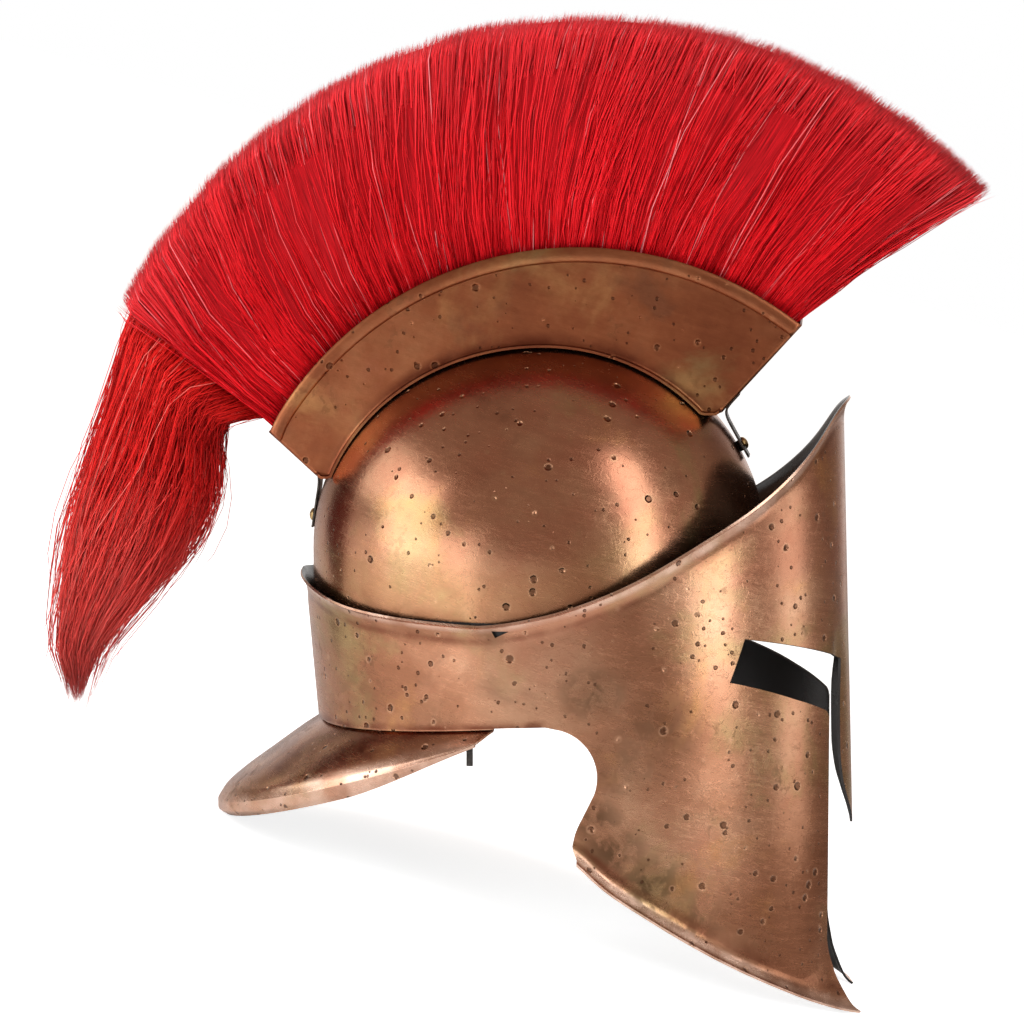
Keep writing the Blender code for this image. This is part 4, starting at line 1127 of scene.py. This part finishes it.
def build_fastener(name, path, inside):
    """Domed head on a shank through the bracket's foot."""
    centre = path[-1].lerp(path[-2], 0.5)
    along = (path[-1] - path[-2]).normalized()
    out = Vector((0.0, -along.z, along.y))
    if out.y * centre.y < 0:
        out = -out
    up = out.cross(Vector((1.0, 0.0, 0.0)))
    seat = BRACKET_SHEET + GAP
    profile = [(0.0, -inside), (SHANK_RADIUS * 0.8, -inside), (SHANK_RADIUS, 0.3 * MM - inside)]
    profile += [(SHANK_RADIUS, seat), (HEAD_RADIUS * 0.94, seat)]
    for step in range(9):
        turn = math.pi / 2.0 * step / 8
        profile.append((HEAD_RADIUS * math.cos(turn), seat + HEAD_HEIGHT * (0.12 + 0.88 * math.sin(turn))))
    last = len(profile) - 1
    made = flat_sheet(name + "_turned", 28, last)

    def surface(around, place):
        radius, away = profile[round(place * last)]
        angle = math.tau * around
        spoke = Vector((1.0, 0.0, 0.0)) * math.cos(angle) + up * math.sin(angle)
        return centre + spoke * radius + out * away

    bend_sheet(made, surface)
    add_metals(made, "brass_finish")
    finish_piece(made, [name], 40.0)


def build_fittings():
    room = NUT_THICKNESS + 2.0 * GAP
    front = bracket_path(BOX_FRONT_LOW, BOX_FRONT_TOP, FRONT_FOOT, room)
    rear = bracket_path(BOX_REAR_LOW, BOX_REAR_TOP, REAR_FOOT, GAP)
    build_bracket("front_bracket", front)
    build_bracket("rear_bracket", rear)
    build_fastener("front_rivet", front, room + SHEET + SHANK_INSIDE)
    build_fastener("rear_screw", rear, GAP + SHEET + SHANK_INSIDE)


# Hair

def plume_line(share):
    """Root, box edge and tip of the hair in the mid-plane."""
    low = Vector((0.0, *box_low(share)))
    top = Vector((0.0, *box_top(share)))
    up = (top - low).normalized()
    inward = Vector((0.0, up.z, -up.y)) * (1.0 if share > 0.5 else -1.0)
    at_end = 1.0 - ramp(0.0, 0.04, min(share, 1.0 - share))
    low += inward * PLUME_END_ROOM * at_end
    top += inward * PLUME_END_ROOM * at_end
    ridge = max(0.0, skull_top(low.y, 0.0) - low.z)
    root = low + up * (BACKING_LIFT + ridge)
    start = math.atan2(FAN_REAR_TIP[1] - FAN_CENTRE[1], FAN_REAR_TIP[0] - FAN_CENTRE[0])
    end = math.atan2(FAN_FRONT_TIP[1] - FAN_CENTRE[1], FAN_FRONT_TIP[0] - FAN_CENTRE[0])
    angle = mix(start, end, share)
    tip = Vector((
        0.0,
        FAN_CENTRE[0] + FAN_RADIUS * math.cos(angle),
        FAN_CENTRE[1] + FAN_RADIUS * math.sin(angle),
    ))
    return root, top, tip


PLUME_STEPS = 200
PLUME_LINES = np.array([
    [list(point) for point in plume_line(step / PLUME_STEPS)] for step in range(PLUME_STEPS + 1)
])


def fan_places(share, along, across):
    """Places in the fan: share of the run, share from box edge to tip, share of the half width."""
    place = np.clip(share, 0.0, 1.0) * PLUME_STEPS
    row = np.clip(place.astype(int), 0, PLUME_STEPS - 1)
    part = (place - row)[:, None]
    lines = PLUME_LINES[row] * (1 - part[..., None]) + PLUME_LINES[row + 1] * part[..., None]
    root, top, tip = lines[:, 0], lines[:, 1], lines[:, 2]
    reach = along[:, None]
    middle = np.where(reach < 0.0, top + (top - root) * reach, top + (tip - top) * reach)
    half = BOX_HALF_WIDTH - SHEET - GAP - FLAT_ROOM
    rows = [(-1.0, half), (0.0, half), (0.25, mix(half, FAN_HALF_WIDTH, 0.3)),
            (0.60, mix(half, FAN_HALF_WIDTH, 0.75)), (0.90, FAN_HALF_WIDTH),
            (0.975, FAN_HALF_WIDTH * 0.72), (1.02, FAN_HALF_WIDTH * 0.5)]
    wide = np.interp(along, [row[0] for row in rows], [row[1] for row in rows])
    beyond = (share - np.clip(share, 0.0, 1.0))[:, None] * PLUME_STEPS
    tips = PLUME_LINES[:, 2]
    ends = np.where(share[:, None] < 0.5, tips[1] - tips[0], tips[PLUME_STEPS] - tips[PLUME_STEPS - 1])
    middle += ends * beyond * np.clip(reach, 0.0, 1.0)
    middle[:, 0] = across * wide
    return middle


def build_mesh(name, corners, triangles):
    """Mesh from arrays of corners and triangles."""
    mesh = bpy.data.meshes.new(name)
    mesh.vertices.add(len(corners))
    mesh.vertices.foreach_set("co", corners.astype(np.float32).ravel())
    mesh.loops.add(len(triangles) * 3)
    mesh.loops.foreach_set("vertex_index", triangles.astype(np.int32).ravel())
    mesh.polygons.add(len(triangles))
    mesh.polygons.foreach_set("loop_start", np.arange(0, len(triangles) * 3, 3, dtype=np.int32))
    mesh.update(calc_edges=True)
    mesh.validate()
    made = bpy.data.objects.new(name, mesh)
    bpy.context.scene.collection.objects.link(made)
    return made


STRAND_RINGS = (0.0, 0.28, 0.60, 0.92, 1.0)


def join_strands(name, paths, width, tone, material, nodes):
    """One mesh of thin three-sided strands that end in a point."""
    count, rings, _ = paths.shape
    way = np.gradient(paths, axis=1)
    way /= np.linalg.norm(way, axis=2, keepdims=True) + 1e-12
    first = np.cross(way, np.array((0.31, 0.17, 0.93)))
    first /= np.linalg.norm(first, axis=2, keepdims=True) + 1e-12
    second = np.cross(way, first)
    corners = np.zeros((count, 3 * (rings - 1) + 1, 3))
    for ring in range(rings - 1):
        for side in range(3):
            angle = math.tau * side / 3.0
            spoke = first[:, ring] * math.cos(angle) + second[:, ring] * math.sin(angle)
            corners[:, 3 * ring + side] = paths[:, ring] + spoke * width[:, None]
    corners[:, -1] = paths[:, -1]
    faces = [(0, 2, 1)]
    for ring in range(rings - 2):
        for side in range(3):
            a, b = 3 * ring + side, 3 * ring + (side + 1) % 3
            faces += [(a, b, b + 3), (a, b + 3, a + 3)]
    last = 3 * (rings - 2)
    faces += [(last + side, last + (side + 1) % 3, 3 * (rings - 1)) for side in range(3)]
    faces = np.array(faces)
    size = corners.shape[1]
    triangles = (faces[None] + (np.arange(count) * size)[:, None, None]).reshape(-1, 3)
    piece = build_mesh(name, corners.reshape(-1, 3), triangles)
    mark = piece.data.attributes.new("tone", "FLOAT", "POINT")
    mark.data.foreach_set("value", np.repeat(tone, size).astype(np.float32))
    along = np.append(np.repeat(np.linspace(0.0, 1.0, rings)[:-1], 3), 1.0)
    mark = piece.data.attributes.new("along", "FLOAT", "POINT")
    mark.data.foreach_set("value", np.tile(along, count).astype(np.float32))
    piece.data.materials.append(looks[material])
    make_active(piece)
    bpy.ops.object.shade_smooth()
    finish_piece(piece, nodes, smooth=0.0)
    return piece


def finish_bed(bed, places, material, node):
    """Move the grid's corners to their places and close it to a solid mass."""
    bed.data.vertices.foreach_set("co", places.astype(np.float32).ravel())
    start_editing(bed)
    bpy.ops.mesh.remove_doubles(threshold=MERGE)
    bpy.ops.mesh.select_all(action="DESELECT")
    bpy.ops.mesh.select_non_manifold()
    bpy.ops.mesh.edge_face_add()
    end_editing()
    bed.data.materials.append(looks[material])
    finish_piece(bed, [node])


def mark_lie(bed, spots):
    """Keep where each corner lies in the hair, for the streaks."""
    lie = bed.data.uv_layers.new(name="lie")
    for corner in bed.data.loops:
        lie.data[corner.index].uv = spots[corner.vertex_index]


def build_plume_bed():
    """The solid mass of hair between the strands."""
    bed = flat_sheet("plume_bed", 150, 40)

    def place(share, around):
        turn = math.tau * around
        across = math.sin(turn)
        level = -math.cos(turn)
        squash = 1.0 / max(abs(across), abs(level))
        along = mix(-0.75, 0.965, 0.5 + 0.5 * level * squash)
        return share, along, across * squash * mix(0.86, 0.40, ramp(0.72, 0.95, along))

    spots = np.array([place(corner.co.x + 0.5, corner.co.y + 0.5) for corner in bed.data.vertices])
    mark_lie(bed, spots[:, :2])
    shares = mix(0.034, 0.978, spots[:, 0])
    places = fan_places(shares, spots[:, 1], spots[:, 2])
    finish_bed(bed, places, "plume_bed", "plume")


def fan_paths(random, count):
    """Paths of the fan's strands, gathered in locks and wisps that bend back."""
    locks, wisps = 84, 1500
    edge = np.sort(random.uniform(0.0, 1.0, locks))
    lock_lean = random.normal(0.0, 0.010, locks)
    lock_length = random.normal(0.0, 0.009, locks)
    lock_tone = random.normal(0.0, 0.07, locks)
    lock_deep = random.uniform(0.0, 1.0, locks)
    wisp_share = random.uniform(-0.005, 1.005, wisps)
    wisp_share[:90] = random.choice((0.0, 1.0), 90) + random.normal(0.0, 0.006, 90)
    wisp_glint = random.uniform(0.0, 1.0, wisps) < 0.10
    wisp_lean = random.normal(0.0, 0.009, wisps)
    wisp_length = random.normal(0.0, 0.009, wisps)
    wisp_tone = random.normal(0.0, 0.12, wisps)
    wisp = random.integers(0, wisps, count)
    share = np.clip(wisp_share[wisp] + random.normal(0.0, 0.006, count), 0.0, 1.0)
    lock = np.clip(np.searchsorted(edge, share), 0, locks - 1)
    low = np.where(lock > 0, edge[lock - 1], 0.0)
    middle = (low + edge[lock]) / 2.0
    from_edge = np.clip(np.minimum(share - low, edge[lock] - share) / 0.0055, 0.0, 1.0)
    across = random.choice((-1.0, 1.0), count) * random.uniform(0.02, 1.0, count) ** 0.28
    gather = random.uniform(0.0, 0.8, count)
    tip_share = mix(share, np.clip(wisp_share[wisp], 0.0, 1.0), gather)
    tip_share = mix(tip_share, middle, random.uniform(0.0, 0.45, count))
    tip_share += lock_lean[lock] + wisp_lean[wisp] + random.normal(0.0, 0.006, count)
    first = -0.016 - 0.026 * random.uniform(0.0, 1.0, count) ** 2.0
    last = 1.004 + 0.016 * random.uniform(0.0, 1.0, count) ** 2.0
    tip_share = np.clip(tip_share + 0.012 * (share < 0.03) * random.normal(0.0, 1.0, count), first, last)
    groove = 1.0 - (1.0 - from_edge) * 0.42 - 0.16 * lock_deep[lock]
    length = 0.985 + lock_length[lock] + wisp_length[wisp] + random.normal(0.0, 0.005, count)
    short = random.uniform(0.0, 1.0, count) < 0.14
    length = np.where(short, length * random.uniform(0.5, 0.97, count), length)
    length = np.minimum(length, 1.013)
    bulge = mix(0.026, 0.004, share ** 0.7) + random.normal(0.0, 0.0035, count)
    stray = random.uniform(0.0, 1.0, count) < 0.05
    tip_share = np.where(stray, np.clip(tip_share + random.normal(0.0, 0.03, count), first, last), tip_share)
    paths = np.zeros((count, len(STRAND_RINGS), 3))
    for ring, t in enumerate(STRAND_RINGS):
        eased = t * t * (3.0 - 2.0 * t)
        here = np.clip(mix(share, tip_share, eased) - bulge * 4.0 * t * (1.0 - t), first, last)
        along = mix(np.full(count, -0.10), length, t)
        side = across * mix(1.0, groove, min(1.0, t * 2.0))
        paths[:, ring] = fan_places(here, along, side * 0.97)
        sway = random.normal(0.0, 1.0, (count, 3)) * np.where(stray, 0.0012, 0.00035)[:, None]
        paths[:, ring] += sway * (1.0 if 0.0 < t < 1.0 else 0.0)
    tone = random.beta(2.0, 2.2, count) * 0.9 + lock_tone[lock] + wisp_tone[wisp]
    # Painted shade: strands at a lock's edge are darker, in the grooves between locks.
    tone -= 0.30 * (1.0 - from_edge)
    glint = wisp_glint[wisp] & (random.uniform(0.0, 1.0, count) < 0.45)
    tone = np.where(glint, random.uniform(0.92, 1.0, count), np.minimum(tone, 0.9))
    return paths, np.clip(tone, 0.0, 1.0)


PLUME_PARTS = 3
STRANDS_IN_PART = 8800
TAIL_STRANDS = 4900


def build_plume_strands():
    random = np.random.default_rng(7)
    for part in range(PLUME_PARTS):
        paths, tone = fan_paths(random, STRANDS_IN_PART)
        width = random.uniform(0.15, 0.33, len(paths)) * MM
        join_strands("plume_strands_%d" % (part + 1), paths, width, tone, "horsehair", ["plume"])


def tail_frame():
    """Centre, direction across and half sizes of the tail's sections, root first."""
    root, top, tip = plume_line(0.0)
    across = (tip - top).normalized()
    out = Vector((0.0, across.z, -across.y))
    rows = [(
        top.lerp(tip, 0.5) + out * GAP, across,
        (tip - top).length / 2.0 - TAIL_ROOT_INSET, TAIL_ROOT_HALF_THICKNESS,
    )]
    for back, down, half_width, lean, thickness in TAIL_SECTIONS:
        angle = math.radians(lean)
        centre = Vector((0.0, BOX_REAR_TOP[0] + back * TAIL_DROP, BOX_REAR_TOP[1] - down * TAIL_DROP))
        rows.append((
            centre, Vector((0.0, math.cos(angle), math.sin(angle))),
            half_width * TAIL_DROP, thickness * TAIL_HALF_THICKNESS,
        ))
    return rows


def tail_places(along, wide, thick):
    """Places in the tail: share of its run, shares of its half width and thickness."""
    rows = tail_frame()
    run = [0.0]
    for here, there in zip(rows, rows[1:]):
        run.append(run[-1] + (there[0] - here[0]).length)
    run = np.array(run) / run[-1]
    values = np.array([[*row[0], *row[1], row[2], row[3]] for row in rows])
    found = np.stack([
        curve_through(list(zip(run, values[:, column])), along) for column in range(8)
    ], axis=1)
    places = found[:, 0:3] + found[:, 3:6] * (found[:, 6] * wide)[:, None]
    places[:, 0] += found[:, 7] * thick
    return places


def build_tail_bed():
    bed = flat_sheet("plume_tail_bed", 60, 40)
    spots = np.array([(corner.co.x + 0.5, corner.co.y + 0.5) for corner in bed.data.vertices])
    mark_lie(bed, spots[:, ::-1])
    turn = spots[:, 1] * math.tau
    thin = mix(0.80, 0.45, spots[:, 0])
    places = tail_places(spots[:, 0] * 0.80, thin * np.cos(turn), thin * np.sin(turn))
    finish_bed(bed, places, "tail_bed", "plume_tail")


def build_tail_strands():
    """The tail's strands: wavy wisps, some of them loose, that end at many lengths."""
    random = np.random.default_rng(11)
    count, wisps, rings = TAIL_STRANDS, 320, 8
    wisp = random.integers(0, wisps, count)
    wisp_angle = random.uniform(0.0, math.tau, wisps)
    wisp_drift = random.normal(0.0, 0.45, wisps)
    wisp_length = np.minimum(random.normal(0.80, 0.16, wisps), 1.0)
    wave = random.normal(0.0, 1.0, (wisps, 3, 3))
    phase = random.uniform(0.0, math.tau, (wisps, 3))
    loose = np.where(random.uniform(0.0, 1.0, wisps) < 0.16, 1.0, 0.0)[wisp]
    angle = wisp_angle[wisp] + random.normal(0.0, 0.5, count)
    gather = random.uniform(0.2, 0.9, count)
    radius = random.uniform(0.08, 1.0, count) ** 0.40
    length = np.clip(wisp_length[wisp] + random.normal(0.0, 0.05, count), 0.3, 1.0)
    alone = np.where(random.uniform(0.0, 1.0, count) < 0.05, 1.0, 0.0)
    stray = random.normal(0.0, 1.0, (count, 3)) * alone[:, None]
    paths = np.zeros((count, rings, 3))
    for ring, t in enumerate(np.linspace(0.0, 1.0, rings)):
        turn = mix(angle, wisp_angle[wisp], gather * t) + wisp_drift[wisp] * t
        grow = radius * (1.0 + (0.30 * loose + 0.25 * alone) * t)
        paths[:, ring] = tail_places(0.002 + t * length, grow * np.cos(turn), grow * np.sin(turn))
        curl = np.zeros((count, 3))
        for turns, strength, k in ((2.5, 1.0, 0), (5.5, 0.55, 1), (10.0, 0.25, 2)):
            curl += wave[wisp, k] * (strength * np.sin(phase[wisp, k] + turns * t))[:, None]
        paths[:, ring] += curl * (0.0018 * min(1.0, 2.5 * t) * (1.0 + loose))[:, None]
        paths[:, ring] += stray * 0.004 * t * t + random.normal(0.0, 0.0004, (count, 3)) * min(1.0, t * 4.0)
    tone = random.beta(2.0, 2.4, count) * 0.9 + random.normal(0.0, 0.12, wisps)[wisp]
    # Painted glints: a few strands take the palest tone.
    tone = np.where(random.uniform(0.0, 1.0, count) < 0.03, 0.97, np.clip(tone, 0.0, 0.9))
    width = random.uniform(0.13, 0.28, count) * MM
    join_strands("plume_tail_strands", paths, width, tone, "tail_horsehair", ["plume_tail"])


# Light, floor and camera

TARGET = Vector((0.0, 18.0, 21.5)) * MM
AZIMUTH = math.radians(4.7)
ELEVATION = math.radians(6.7)
DISTANCE = 2.0
LENS = 140.6
SENSOR = 36.0
FLOOR_DROP = 0.6 * MM
DAYLIGHT = (0.95, 1.0, 1.03)

SOFTBOXES = [
    # name, degrees right of the camera, degrees up, metres away, size, brightness, mirrored
    ("left_softbox", -62, 8, 0.60, (0.27, 0.42), 2.4, True),
    ("left_high_softbox", -86, 27, 0.95, (0.50, 0.36), 1.5, True),
    ("left_rear_softbox", -118, 31, 1.05, (0.46, 0.32), 1.0, True),
    ("left_low_softbox", -40, -7, 0.56, (0.19, 0.19), 1.7, True),
    ("right_softbox", 43, 12, 0.90, (0.25, 1.08), 3.1, True),
    ("right_far_softbox", 79, -4, 0.90, (0.26, 0.50), 1.3, True),
    ("hair_top_light", -10, 72, 1.20, (1.20, 0.90), 3.0, False),
    ("hair_front_light", -20, 24, 1.90, (0.90, 0.90), 4.6, False),
]

ROOM_TONES = [
    # from behind the helmet to behind the camera
    (0.0, (1.10, 1.10, 1.10, 1.0)), (0.05, (0.90, 0.88, 0.86, 1.0)), (0.12, (0.32, 0.27, 0.24, 1.0)),
    (0.22, (0.22, 0.175, 0.15, 1.0)), (0.36, (0.29, 0.235, 0.20, 1.0)),
    (0.5, (0.37, 0.30, 0.26, 1.0)), (1.0, (0.37, 0.30, 0.26, 1.0)),
]


def view_axes():
    back = Vector((
        -math.cos(AZIMUTH) * math.cos(ELEVATION),
        -math.sin(AZIMUTH) * math.cos(ELEVATION),
        math.sin(ELEVATION),
    ))
    right = Vector((math.sin(AZIMUTH), -math.cos(AZIMUTH), 0.0))
    up = back.cross(right)
    return right, up, back


def set_camera():
    right, up, back = view_axes()
    stand = Matrix((right, up, back)).transposed().to_4x4()
    stand.translation = TARGET + back * DISTANCE
    camera = bpy.data.objects.new("camera", bpy.data.cameras.new("camera"))
    bpy.context.scene.collection.objects.link(camera)
    camera.data.sensor_width = SENSOR
    camera.data.lens = LENS
    camera.matrix_world = RESTING @ stand
    bpy.context.scene.camera = camera


def add_softbox(name, side, rise, distance, size, radiance, mirrored):
    """Area light that faces the helmet. One that isn't mirrored lights the hair only."""
    right, up, back = view_axes()
    turn, tilt = math.radians(side), math.radians(rise)
    way = (right * math.sin(turn) + back * math.cos(turn)) * math.cos(tilt) + up * math.sin(tilt)
    data = bpy.data.lights.new(name, "AREA")
    data.shape = "RECTANGLE"
    data.size, data.size_y = size
    data.energy = radiance * math.pi * size[0] * size[1]
    data.color = DAYLIGHT
    light = bpy.data.objects.new(name, data)
    bpy.context.scene.collection.objects.link(light)
    light.visible_glossy = mirrored
    facing = way.to_track_quat("Z", "Y").to_matrix().to_4x4()
    facing.translation = TARGET + way * distance
    light.matrix_world = RESTING @ facing


def set_lights():
    for values in SOFTBOXES:
        add_softbox(*values)


def set_world():
    """White to the camera, and to the metal the dim room that it mirrors in the photo."""
    world = bpy.data.worlds.new("studio")
    bpy.context.scene.world = world
    world.use_nodes = True
    tree = world.node_tree
    tree.nodes.clear()
    place = add_node(tree, "TexCoord").outputs["Generated"]
    ahead = RESTING.to_3x3() @ view_axes()[2]
    toward = add_node(tree, "VectorMath", {0: place, 1: ahead}, operation="DOT_PRODUCT").outputs["Value"]
    tones = ramp_colour(tree, spread(tree, toward, -1.0, 1.0, 0.0, 1.0), ROOM_TONES)
    room = add_node(tree, "Background", {"Color": tones, "Strength": 1.0}).outputs[0]
    white = add_node(tree, "Background", {"Color": grey(1.0), "Strength": 1.0}).outputs[0]
    ray = add_node(tree, "LightPath").outputs["Is Camera Ray"]
    chosen = add_node(tree, "MixShader", {"Fac": ray, 1: room, 2: white}).outputs[0]
    add_node(tree, "OutputWorld", {"Surface": chosen})


def add_floor():
    deselect_everything()
    bpy.ops.mesh.primitive_circle_add(
        vertices=96, radius=6.0, fill_type="NGON", location=(0.0, 0.0, -FLOOR_DROP),
    )
    floor = bpy.context.object
    floor.name = "floor"
    tree, shader = new_material("floor_white")
    ray = add_node(tree, "LightPath").outputs["Is Camera Ray"]
    glow = compute(tree, "MULTIPLY", ray, 0.80)
    values = {"Base Color": grey(0.80), "Roughness": 0.9, "Emission Color": grey(1.0)}
    set_inputs(tree, shader, {**values, "Emission Strength": glow})
    floor.data.materials.append(looks["floor_white"])


def main():
    make_pits_group()
    make_patches_group()
    make_brushed_group()
    warm = (rgb(0.38, 0.165, 0.090), rgb(0.52, 0.250, 0.145), rgb(0.64, 0.36, 0.220))
    bright = (rgb(0.42, 0.175, 0.100), rgb(0.51, 0.240, 0.140), rgb(0.58, 0.33, 0.19))
    deep = (rgb(0.27, 0.082, 0.038), rgb(0.37, 0.120, 0.053), rgb(0.47, 0.190, 0.088))
    make_copper("mask_copper", warm, 0.25, 1.0, 0.6)
    make_copper("dome_copper", bright, 0.25, 0.65, 0.15)
    make_copper("box_copper", deep, 0.36, 0.50, 0.4)
    make_black_inside()
    make_plain_metal("dark_steel_finish", rgb(0.10, 0.092, 0.085), rgb(0.03, 0.026, 0.022), 0.36)
    make_plain_metal("brass_finish", rgb(0.66, 0.46, 0.21), rgb(0.25, 0.15, 0.06), 0.24)
    make_hair("horsehair", rgb(0.42, 0.001, 0.004), rgb(0.96, 0.015, 0.024), rgb(1.0, 0.30, 0.32), 0.14)
    make_hair("tail_horsehair", rgb(0.28, 0.001, 0.002), rgb(0.84, 0.020, 0.017), rgb(1.0, 0.24, 0.20), 0.42)
    make_hair_bed("plume_bed", rgb(0.10, 0.001, 0.002), rgb(0.72, 0.008, 0.015))
    make_hair_bed("tail_bed", rgb(0.08, 0.001, 0.001), rgb(0.34, 0.003, 0.005))
    make_lace_leather()
    build_skull()
    build_mask()
    build_neck_guard()
    build_crest_box()
    build_fittings()
    build_plume_bed()
    build_plume_strands()
    build_tail_bed()
    build_tail_strands()
    for node in ("lace_left", "lace_right"):
        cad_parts[node].material_slots[0].material = looks["lace_leather"]
    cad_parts["front_nut"].material_slots[0].material = looks["dark_steel_finish"]
    add_floor()
    set_camera()
    set_lights()
    set_world()
    bpy.context.scene.view_settings.view_transform = "Standard"


main()
